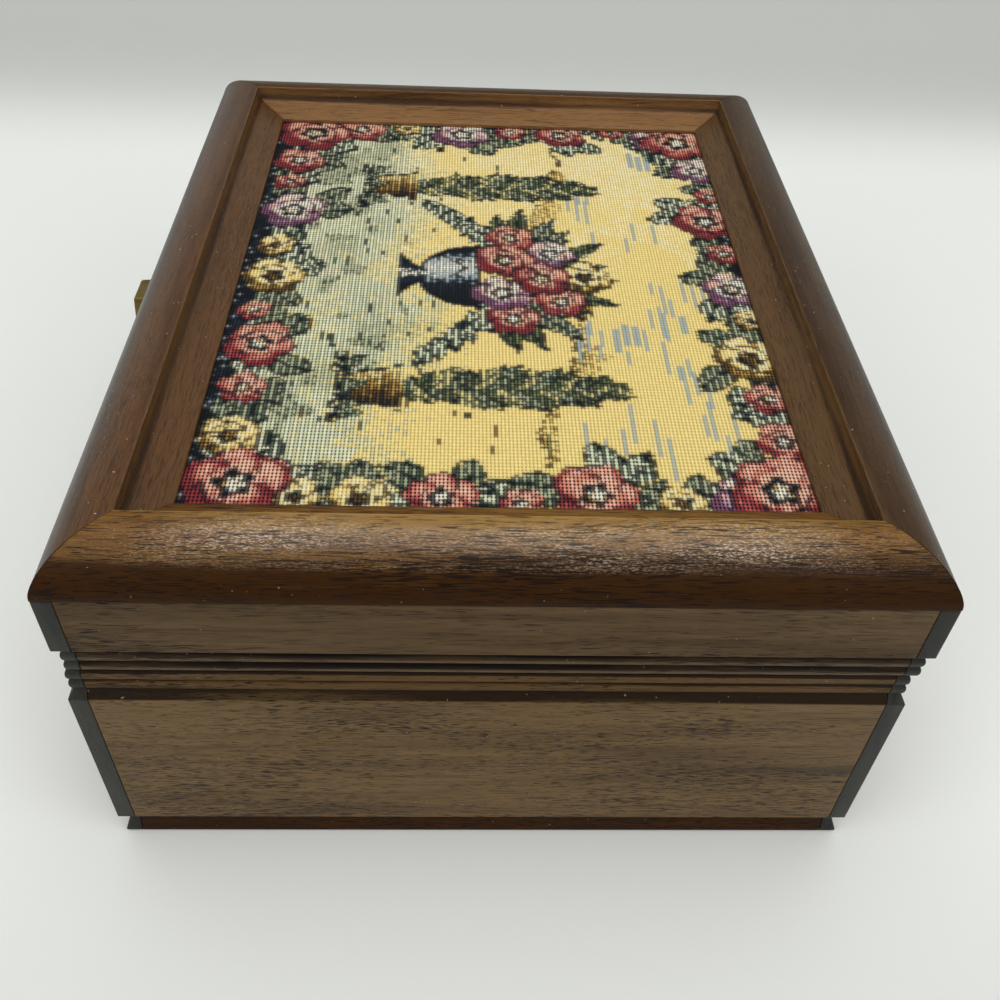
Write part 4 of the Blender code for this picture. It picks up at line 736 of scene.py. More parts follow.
def makeCase():
    low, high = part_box("base_front")
    pitch = boards["reedPitch"]
    shoulder = high.z - boards["reedCount"] * pitch
    panel = shoulder - boards["shoulderHeight"]
    rows = np.concatenate([
        np.array([(low.z, boards["easedFoot"]), (low.z + boards["easedEdge"], 0.0)]),
        along([(panel - 0.001, 0.0), (panel, 0.0), (shoulder - 0.0002, boards["shoulderInset"])],
              boards["rowSpacing"]),
        reedRows(shoulder)])
    # Heights, and how much painted shade and painted light lies at each: darker along the shoulder,
    # painted shade in the groove between the reeds and at the split, painted light on the reeds
    marks = {"shade": ([panel - 0.0001, panel + 0.0003, shoulder - 0.0003, shoulder + 0.0004,
                        shoulder + 0.75 * pitch, shoulder + pitch, shoulder + 1.25 * pitch,
                        shoulder + 1.72 * pitch, shoulder + 1.86 * pitch],
                       [0, 0.75, 1, 0.35, 0.1, 1, 0.2, 0, 1]),
             "glow": ([shoulder, shoulder + 0.0008, high.z - 0.0012, high.z - 0.0006], [0, 1, 1, 0])}
    base = makeWalls("base", rows, boards["wall"], "panel", "case", marks)
    low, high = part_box("lid_front")
    reedTop = low.z + boards["reedCount"] * pitch
    band = reedTop + boards["lidShoulder"]
    rows = np.concatenate([
        reedRows(low.z),
        along([(reedTop + 0.0002, boards["shoulderInset"]), (band, 0.0), (band + 0.001, 0.0)],
              boards["rowSpacing"]),
        np.array([(high.z - boards["easedEdge"], 0.0), (high.z, boards["easedEdge"])])])
    # Painted shade at the split, in the grooves and under the band; painted light along the lower part
    # of each reed
    marks = {"shade": ([low.z + 0.1 * pitch, low.z + 0.25 * pitch, low.z + 0.6 * pitch,
                        low.z + pitch, low.z + 1.3 * pitch, low.z + 1.6 * pitch, reedTop,
                        band - 0.0002, band + 0.0002],
                       [1, 0, 0.8, 1, 0, 0.8, 1, 1, 0]),
             "glow": ([low.z, low.z + 0.3 * pitch, low.z + 0.6 * pitch, low.z + pitch,
                       low.z + 1.3 * pitch, low.z + 1.6 * pitch],
                      [0.3, 1, 0, 0, 1, 0])}
    lid = makeWalls("lid", rows, boards["wall"], "band", "lid", marks)
    low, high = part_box("plinth_front")
    turn = np.linspace(0, math.pi / 2, 8)
    foot = np.stack([boards["plinthFootRadius"] * (1 - np.cos(turn)),
                     boards["plinthFootInset"] + boards["plinthFootRadius"] * (1 - np.sin(turn))], 1)
    rows = np.concatenate([foot, along([foot[-1], (high.z, boards["plinthTopInset"])], 0.001)[1:]])
    makeWalls("plinth", rows, boards["plinthWidth"], "plinth", "case", {})
    return base, lid


def cutBoxes(target, boxes):
    # Boxes taken out of a finished piece with one exact Boolean, which is applied here
    work = bmesh.new()
    for low, high in boxes:
        corner = bmesh.ops.create_cube(work, size=1.0)["verts"]
        middle, size = (Vector(low) + Vector(high)) / 2, Vector(high) - Vector(low)
        bmesh.ops.scale(work, verts=corner, vec=size)
        bmesh.ops.translate(work, verts=corner, vec=middle)
    mesh = bpy.data.meshes.new("cutter")
    work.to_mesh(mesh)
    work.free()
    cutter = linked("cutter", mesh)
    step = target.modifiers.new("recess", "BOOLEAN")
    step.operation, step.solver, step.object = "DIFFERENCE", "EXACT", cutter
    shape = target.evaluated_get(bpy.context.evaluated_depsgraph_get())
    cut = bpy.data.meshes.new_from_object(shape)
    target.modifiers.remove(step)
    old, target.data = target.data, cut
    bpy.data.meshes.remove(old)
    bpy.data.objects.remove(cutter, do_unlink=True)
    cut.set_sharp_from_angle(angle=math.radians(40))


def cutRecesses(walls, end, side):
    # The recess of each hinge leaf, in the face where base and lid meet
    hinges = dict(clearance=0.0003, leafThickness=0.0009, beyond=0.001)
    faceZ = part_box("base_back")[1].z if side < 0 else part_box("lid_back")[0].z
    deep = faceZ + side * (hinges["leafThickness"] + hinges["clearance"])
    bottom, top = sorted((faceZ - side * hinges["beyond"], deep))
    cuts = []
    for hand in ("left", "right"):
        low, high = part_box(f"hinge_{hand}_{end}")
        cuts.append(((low.x - hinges["clearance"], low.y - hinges["clearance"], bottom),
                     (high.x + hinges["clearance"], high.y, top)))
    cutBoxes(walls["back"], cuts)


baseWalls, lidWalls = makeCase()
cutRecesses(baseWalls, "lower", -1)
cutRecesses(lidWalls, "upper", 1)
print("case boards made")

# Woven panel

yarns = {name: np.array(paint(code)[:3]) for name, code in dict(
    gold="#f6e094", straw="#f6eabc", ochre="#b7924a", sage="#b4b894", mist="#e6e9c8", moss="#7a8052",
    pine="#2b4238", ink="#141a21", navy="#1f2c38", crimson="#8a3338", rose="#b25654",
    salmon="#de9079", blush="#f0c0a6", mauve="#7c5068", lilac="#c29cae", cream="#f4eedb",
    slate="#9fb0b8", umber="#5f4728", haze="#cbceaa", flax="#eadc9e").items()}
# What shows between the stitches of each yarn, partly the colour beneath and partly painted shade in the
# valleys, and how strongly across the ribs
gapColoursAndShade = {name: (np.array(paint(code)[:3]), strength) for name, code, strength in (
    ("gold", "#bc9d4c", 0.2), ("straw", "#bda55e", 0.18), ("ochre", "#33260f", 0.5),
    ("sage", "#252c22", 0.3), ("mist", "#3a4333", 0.25), ("moss", "#1a1e14", 0.5),
    ("pine", "#0b1114", 0.4), ("haze", "#333b2c", 0.28), ("flax", "#6d6134", 0.28),
    ("ink", "#0a0d12", 0.3), ("navy", "#0e141c", 0.3), ("crimson", "#16080a", 0.5),
    ("rose", "#240a0e", 0.5), ("salmon", "#40151a", 0.45), ("blush", "#52221f", 0.4),
    ("mauve", "#160d15", 0.5), ("lilac", "#2b1625", 0.45), ("cream", "#33352c", 0.35),
    ("slate", "#8f8a62", 0.25), ("umber", "#140c07", 0.5))}


class Weaving:  # the woven picture as one colour per stitch, in millimetres from the panel's middle
    def __init__(self, columns, ribs, width, depth, seed):
        self.u, self.v = np.meshgrid((np.arange(columns) + 0.5) / columns * width - width / 2,
                                     (np.arange(ribs) + 0.5) / ribs * depth - depth / 2, indexing="ij")
        self.halfU, self.halfV = width / 2, depth / 2
        self.random = np.random.default_rng(seed)
        self.grain = self.random.random(self.u.shape)
        self.stripe = np.broadcast_to(np.arange(ribs)[None, :] % 2 == 0, self.u.shape)
        self.cloth = np.zeros((*self.u.shape, 3))
        self.between = np.zeros((*self.u.shape, 4))

    def drift(self, size):
        # Slow blotches: a coarse grid of random numbers with soft steps between them
        count = int(max(np.ptp(self.u), np.ptp(self.v)) / size) + 3
        grid = self.random.random((count, count))
        a, b = (self.u - self.u.min()) / size, (self.v - self.v.min()) / size
        i, j = a.astype(int), b.astype(int)
        s, t = a - i, b - j
        s, t = s * s * (3 - 2 * s), t * t * (3 - 2 * t)
        return ((1 - s) * ((1 - t) * grid[i, j] + t * grid[i, j + 1])
                + s * ((1 - t) * grid[i + 1, j] + t * grid[i + 1, j + 1]))

    def lay(self, mask, yarn):
        self.cloth[mask] = yarns[yarn]
        self.between[mask] = (*gapColoursAndShade[yarn][0], gapColoursAndShade[yarn][1])

    def blend(self, mask, yarnNames, level):
        # Neighbouring yarns are mixed stitch by stitch, as a loom does
        step = np.clip(level, 0, 0.999) * (len(yarnNames) - 1)
        pick = np.clip(np.floor(step + self.grain * 0.999).astype(int), 0, len(yarnNames) - 1)
        for k, name in enumerate(yarnNames):
            self.lay(mask & (pick == k), name)

    def flower(self, u, v, radius, tones, petals=5, turn=0.0, eye="cream"):
        # Round petals that overlap about a dark ring, each lit from one side, with a notched edge
        du, dv = self.u - u, self.v - v
        far, angle = np.hypot(du, dv) / radius, np.arctan2(dv, du)
        edge = 1 + 0.045 * np.cos(angle * 13 + turn * 5) + 0.1 * (self.grain - 0.5)
        for k in range(petals):
            aim = turn + 2 * math.pi * k / petals
            own = 0.5 + 0.05 * math.sin(k * 2.3 + turn)
            pu, pv = du / radius - 0.54 * math.cos(aim), dv / radius - 0.54 * math.sin(aim)
            reach = np.hypot(pu, pv) / own
            self.lay((reach < edge * 1.16) & (reach >= edge * 0.97) & (self.grain < 0.78), "ink")
            lit = 0.4 + 0.34 * math.cos(aim - 2.6) + 0.3 * (0.9 - reach) - 0.34 * pu / own
            lit += 0.16 * self.stripe
            lit += 0.22 * np.sin(far * 11 + angle * 3) - 0.5 * (np.abs(reach - 0.88) < 0.09)
            self.blend(reach < edge, tones, lit)
        curl = np.abs(far - 0.62 - 0.09 * np.sin(angle * 2 + turn)) < 0.045
        self.lay(curl & (np.sin(angle - turn * 2) > 0.3) & (self.grain < 0.8), "ink")
        self.lay((far < 0.52) & (self.grain < 0.6), tones[-1])
        self.lay((far < 0.37 + 0.06 * np.cos(angle * 5 + turn)) & (self.grain < 0.97), "ink")
        self.lay((far < 0.18 + 0.06 * np.cos(angle * 5 + turn * 3)), eye)
        self.lay((far < 0.24) & (self.grain > 0.84), "ochre")

    def leafBlade(self, u, v, length, width, turn, tones=None):
        # Along and across the blade; pale stitches follow every other rib beside a dark vein
        tones = tones or sages
        du, dv = self.u - u, self.v - v
        far = (du * math.cos(turn) + dv * math.sin(turn)) / length
        off = (dv * math.cos(turn) - du * math.sin(turn)) / width + 0.25 * np.sin(far * 4)
        edge = np.sin(math.pi * np.clip(far, 0, 1)) ** 0.7
        inside = (far > 0) & (far < 1) & (np.abs(off) < edge)
        about = (far > -0.08) & (far < 1.08) & (np.abs(off) < edge + 0.3)
        self.lay(about & (self.grain < 0.85), tones[0])
        slant = ((far * length - np.abs(off) * width * 0.9) / 2.6) % 1
        self.blend(inside, tones[1:], self.stripe * 0.85 + (slant > 0.6) * 0.25 + 0.2 * (off > 0) - 0.1)
        self.lay(inside & (np.abs(off) < 0.17) & (self.grain < 0.9), tones[0])

    def dash(self, u, v, length, yarn):
        # One rib wide, along the rib
        self.lay((np.abs(self.u - u) < length / 2) & (np.abs(self.v - v) < 0.5), yarn)


reds = ("crimson", "crimson", "rose", "salmon", "blush")
corals = ("crimson", "rose", "salmon", "salmon", "blush")
mauves = ("mauve", "mauve", "lilac", "blush", "cream")
golds = ("umber", "ochre", "gold", "gold", "straw")
sages, mosses, mists = (("ink", "pine", tip) for tip in ("sage", "moss", "mist"))


def weaveGround(w):
    soft = w.drift(16.0)
    w.blend(np.full(w.u.shape, True), ("gold", "gold", "straw"),
            0.2 + 0.3 * soft + 0.35 * (w.u < 10 - 60 * soft))
    # Sage comes in from the foot of the picture, in broken stripes that thin out into the gold
    sage = np.clip((-w.v - 24 + 26 * w.drift(20.0) + 9 * w.drift(5.0)) / 34, 0, 1)
    pale = w.drift(11.0)
    w.blend(sage > w.grain * 0.75 + 0.12 + 0.25 * w.stripe, ("sage", "haze", "mist", "flax"),
            0.25 + w.stripe * 0.35 + 0.55 * (pale - 0.5) + 0.35 * (1 - sage))
    w.blend((sage > 0.9) & (w.drift(6.0) > 0.72), ("pine", "sage", "haze"), 0.3 + 0.5 * w.stripe)
    # A dark leafy margin, widest at the foot of the picture, and uneven along its inner edge
    foot, top = w.halfV + w.v, w.halfV - w.v
    near = w.halfU - np.abs(w.u)
    rough = 10 * w.drift(9.0) + 6 * w.drift(4.0)
    dark = (foot < 11 + rough * 0.9) | (top < 3 + rough * 0.8) | (near < 1 + rough * 0.7)
    w.blend(dark, ("ink", "ink", "navy"), w.drift(3.0) + 0.3 * (w.grain - 0.5))
    w.lay(dark & (w.grain > 0.965), "slate")


def walkRound(w):
    # Places along the four sides, a flower's width apart; sizes and colours come round in turn
    sizes = (8.4, 5.2, 10.2, 5.8, 8.8, 4.6, 9.6, 6.2, 7.4)
    kinds = (reds, golds, corals, mauves, reds, golds, corals, reds, mauves, corals, golds)
    count = 0
    for side, length, across in ((-1, w.halfU, w.halfV), (1, w.halfU, w.halfV),
                                 (-2, w.halfV, w.halfU), (2, w.halfV, w.halfU)):
        place = 25.5 - length
        while place < length - 27.0:
            radius = sizes[count % len(sizes)]
            place += radius
            inset = across - radius * (1.02 if radius > 7 else 1.3) - (5.5 if side == -1 else 0.5)
            u, v = (place, side * inset) if abs(side) == 1 else (side / 2 * inset, place)
            yield count, u, v, radius, kinds[count * 4 % len(kinds)]
            place += radius + 1.5 + (count * 7 % 5)
            count += 1


def weaveGarland(w):
    for k, u, v, radius, _ in walkRound(w):
        inward = math.atan2(-v * w.halfU, -u * w.halfV)
        for swing, reach in ((-1.3, 1.3), (1.25, 1.45), (0.5 - k % 2, 1.1)):
            tones = sages if (k + int(swing * 4)) % 3 else mists
            w.leafBlade(u + radius * 0.7 * math.cos(inward + swing),
                        v + radius * 0.7 * math.sin(inward + swing),
                        radius * reach, 2.4 + radius * 0.16, inward + swing * 0.8, tones)
    corners = [(side * (w.halfU - 13), end * (w.halfV - (17 if end < 0 else 12.5)))
               for side in (-1, 1) for end in (-1, 1)]
    for u, v in corners:
        for turn in (-0.9, 0.1, 1.0):
            aim = math.atan2(-v, -u) + turn
            w.leafBlade(u + 9 * math.cos(aim), v + 9 * math.sin(aim), 11, 3.6, aim + 0.3, mists)
    for k, u, v, radius, tones in walkRound(w):
        petals, eye = (6, "umber") if tones is golds else (5, "cream")
        w.flower(u, v, radius, tones, petals, k * 1.7, eye)
    for k, (u, v) in enumerate(corners):
        w.flower(u, v, 12.4, (reds, corals, reds, corals)[k], 5, k * 0.8 + 0.3)


def weaveBouquet(w):
    # A bowl of flowers on a foot, with dark foliage behind it
    for k in range(30):
        turn = math.pi * (k + 0.5) / 30
        reach = 25 + 8 * math.sin(k * 2.4)
        w.leafBlade(0.5 * reach * math.cos(turn), 0.4 * reach * math.sin(turn), reach * 0.72, 3.0,
                    turn, mosses if k % 2 else sages)
    for side in (-1, 1):
        for k in range(6):
            aim = math.pi / 2 - side * (0.8 + 0.25 * k)
            w.leafBlade(side * (15 + 4 * k), -5 - 2.4 * k, 11, 2.6, aim, mists)
    swell = np.sqrt(np.clip(1 - ((w.v + 4) / 19) ** 2, 0, 1))
    w.lay((w.v < -4) & (w.v > -22.5) & (np.abs(w.u) < 15.5 * swell + 1.6), "ink")
    inner = (w.v < -5.2) & (w.v > -21) & (np.abs(w.u) < 14 * swell)
    w.blend(inner, ("ink", "navy", "slate", "cream"), 1.1 - np.abs(w.u + 4) / 13 - 0.25 * w.stripe)
    w.lay(inner & (np.abs(w.v + 12 - np.abs(((w.u + 60) % 7) - 3.5)) < 0.8), "ink")
    foot = (w.v <= -20.5) & (w.v > -29) & (np.abs(w.u) < 3.4 + 0.3 * np.clip(-20.5 - w.v, 0, 9) ** 1.6)
    w.blend(foot, ("ink", "navy", "cream"), 0.8 - np.abs(w.u + 1) / 8)
    for u, v, radius, tones, petals, turn in (
        (-13, 17, 7.4, mauves, 5, 0.2), (13, 19, 7.2, corals, 5, 0.6), (0, 27, 7.8, golds, 6, 0.1),
        (-22, 5, 7.2, corals, 5, 0.9), (22, 5, 7.4, reds, 5, 0.5), (-9, 3, 9.0, reds, 5, 0.3),
        (9, 2, 8.6, mauves, 5, 1.0), (1, 14, 8.4, reds, 5, 0.7),
    ):
        w.flower(u, v, radius, tones, petals, turn, "umber" if tones is golds else "cream")


def weaveShrubs(w):
    # Two shrubs in tubs, one on each side: leaves left and right up a stem, longest at the middle,
    # and blades of grass below
    for side in (-1, 1):
        middle = side * 54
        w.lay((np.abs(w.v + 41 + 0.1 * np.abs(w.u - middle)) < 2.2) & (np.abs(w.u - middle) < 15)
              & (w.grain < 0.75), "ink")
        for k in range(34):
            place = 32 - 1.75 * k
            reach = 5.5 + 9.5 * math.sin(math.pi * (k + 2) / 38) + 1.6 * math.sin(k * 2.3)
            hand = 1 if k % 2 else -1
            tones = (mosses, sages, ("ink", "moss", "flax"))[k * 5 % 3]
            aim = math.pi / 2 - hand * (0.5 + 0.011 * k)
            w.leafBlade(middle - hand * 1.5, place - 3, reach, 2.3, aim, tones)
        rim = 5.6 + 0.16 * (w.v + 39) + 0.9 * (np.abs(w.v + 27) < 1.4)
        tub = (w.v < -25.5) & (w.v > -40)
        w.lay(tub & (np.abs(w.u - middle) < rim + 1.2) & (w.grain < 0.9), "ink")
        w.blend(tub & (np.abs(w.u - middle) < rim), ("ink", "umber", "ochre", "flax"),
                0.7 - (w.u - middle) / 15 - 0.3 * w.stripe - 0.25 * (np.abs(w.v + 30) < 0.8))
        for k in range(9):
            w.leafBlade(middle - 12 + 3 * k, -42, 6 + 2 * math.sin(k * 2.1), 1.5,
                        math.pi / 2 + 0.5 * math.sin(k * 1.7))


def weaveFar(w):
    # A far hedge in broken moss, ochre and gold on an umber line
    line = 17 + 6 * np.sin(w.u / 17) + 4 * (w.drift(8.0) - 0.5)
    depth = 15 * w.drift(11.0) - 2
    band = (w.v > line) & (w.v < line + depth) & (np.abs(w.u) < w.halfU - 22)
    w.blend(band & (w.grain > 0.35), ("moss", "ochre", "gold"), (w.v - line) / 12 + 0.3 * w.stripe)
    w.lay((np.abs(w.v - line) < 0.9) & (np.abs(w.u) < w.halfU - 20) & (w.grain > 0.55), "umber")


def weaveScatter(w):
    # Short dashes of dark yarn below, long pairs of grey blue above, all along the ribs
    for _ in range(80):
        u, v = w.random.uniform(20 - w.halfU, w.halfU - 20), w.random.uniform(22 - w.halfV, 4)
        w.dash(u, v, w.random.uniform(1.5, 4.5), ("ink", "pine", "umber")[w.random.integers(3)])
    for _ in range(22):
        u, v = w.random.uniform(30 - w.halfU, w.halfU - 26), w.random.uniform(22, w.halfV - 24)
        for k in range(w.random.integers(1, 4)):
            w.dash(u + w.random.uniform(-8, 8), v + 2.85 * k, w.random.uniform(6, 16), "slate")


def interlaced(values):
    # Each stitch takes a little of the colour of the four beside it, whose threads pass under it
    padded = np.pad(values, ((1, 1), (1, 1), (0, 0)), mode="edge")
    beside = padded[:-2, 1:-1] + padded[2:, 1:-1] + padded[1:-1, :-2] + padded[1:-1, 2:]
    return 0.64 * values + 0.09 * beside


def makeWovenPanel():
    # A crowned grid whose quads carry the colours; its stitches are drawn by the material
    panel = dict(columns=264, stitches=176, ribs=169, crown=0.0005, crownPower=4, ribRise=0.00016,
                 slack=0.00005, unevenness=0.1)
    low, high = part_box("woven_panel")
    width, depth = high.x - low.x, high.y - low.y
    materials["cloth"] = clothRecipe(low, width / panel["stitches"], depth / panel["ribs"])
    w = Weaving(panel["columns"], panel["ribs"], width * 1000, depth * 1000, 5)
    for weave in (weaveGround, weaveFar, weaveScatter, weaveShrubs, weaveBouquet, weaveGarland):
        weave(w)
    # The dark backing shows in a fuzzy line along the foot and the far end
    edge = np.minimum(w.halfV + w.v, w.halfU + w.u + 1.5)
    fray = edge < 2.6 + 4 * w.drift(5.0) * w.random.random(w.u.shape) ** 0.5
    w.blend(fray, ("ink", "navy", "slate"), 0.8 * w.grain)
    w.cloth, w.between = interlaced(w.cloth), interlaced(w.between)
    w.cloth *= 1 + panel["unevenness"] * (w.random.random((*w.u.shape, 1)) - 0.6)
    # Two rows of points for each rib: its crest and the valley beside it
    gx, gy, swell = crowned(low, high, panel["columns"], 2 * panel["ribs"], panel["crownPower"])
    top = high.z - panel["crown"] - panel["ribRise"]
    rib = panel["ribRise"] * (np.arange(gx.shape[1]) % 2)[None, :]
    wander = waves(np.stack([gx * 3, gy * 3], -1), panel["slack"], 8)
    z = top + (panel["crown"] - 2 * panel["slack"]) * swell + rib + wander * swell
    points, faces = slab(np.stack([gx, gy, z], -1), low.z)
    count = panel["columns"] * 2 * panel["ribs"]
    mesh = bpy.data.meshes.new("woven_cloth_panel")
    mesh.from_pydata(points.tolist(), [], faces)
    mesh.materials.append(materials["cloth"])
    for key, values, rest in (("yarn", w.cloth, yarns["navy"]),
                              ("between", w.between, (*gapColoursAndShade["navy"][0], 0.5))):
        colours = np.ones((len(mesh.loops), 4), np.float32)
        perRib = np.repeat(values, 2, axis=1).reshape(-1, values.shape[-1])
        colours[:4 * count, :values.shape[-1]] = np.repeat(perRib, 4, axis=0)
        colours[4 * count:, :len(rest)] = rest
        layer = mesh.color_attributes.new(key, "FLOAT_COLOR", "CORNER")
        layer.data.foreach_set("color", colours.ravel())
    faceOutward(mesh)
    made = settle("woven_cloth_panel", mesh, "lid", ["woven_panel"])


makeWovenPanel()
print("woven panel made")

# Lining, dividers, pads and ring rolls


def putVelvet(node, ending, shape, body="case", sharp=60.0):
    # A shape is its points and faces; the piece takes its name from the node it stands for
    return putPiece(f"{node}_{ending}", *shape, ["velvet"], body, "red_velvet", sharp=sharp,
                    replaced=[node])


def makeWrapped(name, radius=0.0007):
    # A board wrapped in cloth. Its outline is a rectangle with quarter arcs at its corners, and it is
    # drawn in by r(1 - sin t) where the cloth turns over the edges
    low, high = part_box(name)
    middle, half = (low + high) / 2, (high - low) / 2
    radius = min(radius, min(high - low) * 0.45)
    turn = np.linspace(0, math.pi / 2, 6)
    inset = radius * np.concatenate([1 - np.sin(turn), 1 - np.cos(turn)])[:, None, None]
    height = np.concatenate([low.z + radius * (1 - np.cos(turn)), high.z - radius * (1 - np.sin(turn))])
    bend = np.maximum(radius - inset, 1e-5)
    angle = (np.arange(4)[:, None] + np.linspace(0, 1, 5)) * math.pi / 2
    signX, signY = np.array([[1, -1, -1, 1], [1, 1, -1, -1]])[:, :, None]
    x = middle.x + signX * (half.x - inset - bend) + bend * np.cos(angle)
    y = middle.y + signY * (half.y - inset - bend) + bend * np.sin(angle)
    rings = raised(x.reshape(len(height), -1), y.reshape(len(height), -1), height)
    putVelvet(name, "wrapped", tube(rings), sharp=40.0)


for name in ("lining_front", "lining_back", "lining_left", "lining_right",
             "cross_divider", "movement_divider", "ring_divider"):
    makeWrapped(name)


def makeSurround():
    # A velvet board about the mirror: one section, rolled over at both edges, goes round the opening
    board = dict(outerRoll=0.0005, innerRoll=0.0011, puff=0.00025, clearance=0.0003, stations=28)
    low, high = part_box("mirror_surround")
    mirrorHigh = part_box("mirror")[1]
    middle = (low + high) / 2
    half = high - middle
    border = high.x - mirrorHigh.x - board["clearance"]
    turn = np.linspace(0, math.pi / 2, 6)
    face = low.z + board["puff"]
    share = np.linspace(0, 1, 24)[1:-1]
    across = board["outerRoll"] + (border - board["outerRoll"] - board["innerRoll"]) * share
    section = np.concatenate([
        [(0.0, high.z)],
        np.stack([board["outerRoll"] * (1 - np.cos(turn)),
                  face + board["outerRoll"] * (1 - np.sin(turn))], 1),
        np.stack([across, face - board["puff"] * 4 * share * (1 - share)], 1),
        np.stack([border - board["innerRoll"] * (1 - np.sin(turn)),
                  face + board["innerRoll"] * (1 - np.cos(turn))], 1),
        [(border, high.z)]])
    step = np.linspace(-1, 1, board["stations"], endpoint=False)[:, None]
    rings = []
    for dx, dy in ((1, 0), (0, 1), (-1, 0), (0, -1)):
        x = middle.x + (half.x - section[:, 0]) * (step * dx + dy)
        y = middle.y + (half.y - section[:, 0]) * (step * dy - dx)
        rings.append(np.stack([x, y, np.broadcast_to(section[:, 1], x.shape)], -1))
    rings = np.concatenate(rings + [rings[0][:1]])
    shape = rings, gridFaces(*rings.shape[:2], loop=True)
    putVelvet("mirror_surround", "velvet", shape, "lid", sharp=50.0)


makeSurround()


def makePad(name, seed):
    # A flat foam pad under velvet: the top swells from its rolled edges to a soft crown
    pad = dict(crown=0.0012, power=4, edge=0.0016, cells=(60, 44), slack=0.00018)
    low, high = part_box(name)
    gx, gy, swell = crowned(low, high, *pad["cells"], pad["power"])
    rim = np.minimum(np.minimum(gx - low.x, high.x - gx), np.minimum(gy - low.y, high.y - gy))
    roll = np.sqrt(np.clip(1 - (1 - np.clip(rim / pad["edge"], 0, 1)) ** 2, 0, 1))
    side = (high.z - low.z - pad["crown"]) * (0.45 + 0.55 * roll)
    z = low.z + side + (pad["crown"] - pad["slack"]) * swell * roll
    z += waves(np.stack([gx * 2, gy * 2], -1), pad["slack"], seed) * swell
    made = putVelvet(name, "velvet", slab(np.stack([gx, gy, z], -1), low.z))


makePad("main_floor_pad", 31)
makePad("side_floor_pad", 32)


def makeRoll(name, seed):
    # A stuffed roll: a circle carried along X, gathered in at both ends and flat where it rests
    roll = dict(gather=0.006, stations=110, sides=40, wrinkle=0.00016, gathers=11, gatherDepth=0.00022)
    low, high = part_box(name)
    radius = (high.y - low.y) / 2
    middle = (low.y + high.y) / 2
    centre = high.z - radius
    x = np.linspace(0, 1, roll["stations"])
    x = low.x + (high.x - low.x) * (x - 0.035 * np.sin(2 * math.pi * x))
    near = np.clip(np.minimum(x - low.x, high.x - x) / roll["gather"], 0, 1)
    size = radius * np.sin(math.pi * (1 + near ** 0.5) / 4)
    turn = np.linspace(0, 2 * math.pi, roll["sides"], endpoint=False)
    places = np.stack(np.meshgrid(x * 9, np.cos(turn), indexing="ij"), -1)
    fold = waves(places * 0.5, roll["wrinkle"], seed)
    gathers = roll["gatherDepth"] * np.cos(turn * roll["gathers"])[None, :] * (1 - near)[:, None] ** 1.5
    r = size[:, None] - roll["wrinkle"] + np.minimum(fold + gathers, roll["wrinkle"])
    y = middle + r * np.cos(turn)[None, :]
    z = np.maximum(centre + r * np.sin(turn)[None, :], low.z)
    made = putVelvet(name, "velvet", tube(np.stack([np.broadcast_to(x[:, None], y.shape), y, z], -1)))


for k in (1, 2, 3):
    makeRoll(f"ring_roll_{k}", 40 + k)
print("interior made")

# Screws

screws = dict(slot=0.15, slotDepth=0.0002, sunk=0.0003, hingeRadius=0.0021, hingeRise=0.00012,
              hingePitch=0.0105, hingeInset=0.0041, underRadius=0.0031, underRise=0.0011,
              underInset=(0.006, 0.005), underFarInset=(0.008, 0.009))


def screwHead(place, radius, rise, facing, turn):
    # Chords across a disc, with the middle ones let down for the slot, over a short skirt
    edge = screws["slot"]
    u = np.array([-1, -0.9, -0.7, -0.42, -edge, -edge, edge, edge, 0.42, 0.7, 0.9, 1])
    v = np.linspace(-1, 1, 9)
    gu, gv = np.meshgrid(u * 0.999, v, indexing="ij")
    across, along = gu, gv * np.sqrt(1 - gu ** 2)
    height = rise * (1 - across ** 2 - along ** 2)
    height[5:7] -= screws["slotDepth"]
    x = place[0] + radius * (across * math.cos(turn) - along * math.sin(turn))
    y = place[1] + radius * (across * math.sin(turn) + along * math.cos(turn))
    top = np.stack([x, y, place[2] + facing * height], -1)
    return slab(top, place[2] - facing * screws["sunk"])


def putScrews(name, heads, finish, body, slotName):
    points, faces = [], []
    for head in heads:
        own, sides = screwHead(*head)
        start = sum(len(part) for part in points)
        points.append(own)
        faces += [[start + k for k in side] for side in sides]
    putPiece(name, np.concatenate(points), faces, [finish], body, slotName, sharp=30)


def makeScrews():
    for end, body, face, facing in (("lower", "case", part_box("base_back")[1].z, 1),
                                    ("upper", "lid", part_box("lid_back")[0].z, -1)):
        heads = []
        for hand in ("left", "right"):
            low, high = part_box(f"hinge_{hand}_{end}")
            for k in (-1, 0, 1):
                place = ((low.x + high.x) / 2 + k * screws["hingePitch"], low.y + screws["hingeInset"],
                         face)
                heads.append((place, screws["hingeRadius"], screws["hingeRise"], facing, 0.7 + k * 1.1))
        putScrews(f"hinge_screws_{end}", heads, "brass", body, "brass")
    low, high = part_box("bedplate")
    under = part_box("bottom_board")[0].z
    (nearX, nearY), (farX, farY) = screws["underInset"], screws["underFarInset"]
    heads = [((x, y, under), screws["underRadius"], screws["underRise"], -1, 0.5 + 40 * x)
             for x, y in ((low.x + nearX, low.y + nearY), (high.x - farX, low.y + nearY),
                          (high.x - farX, high.y - farY))]
    putScrews("movement_screws", heads, "steel", "case", "steel")


makeScrews()
print("screws made")

# Lid pull


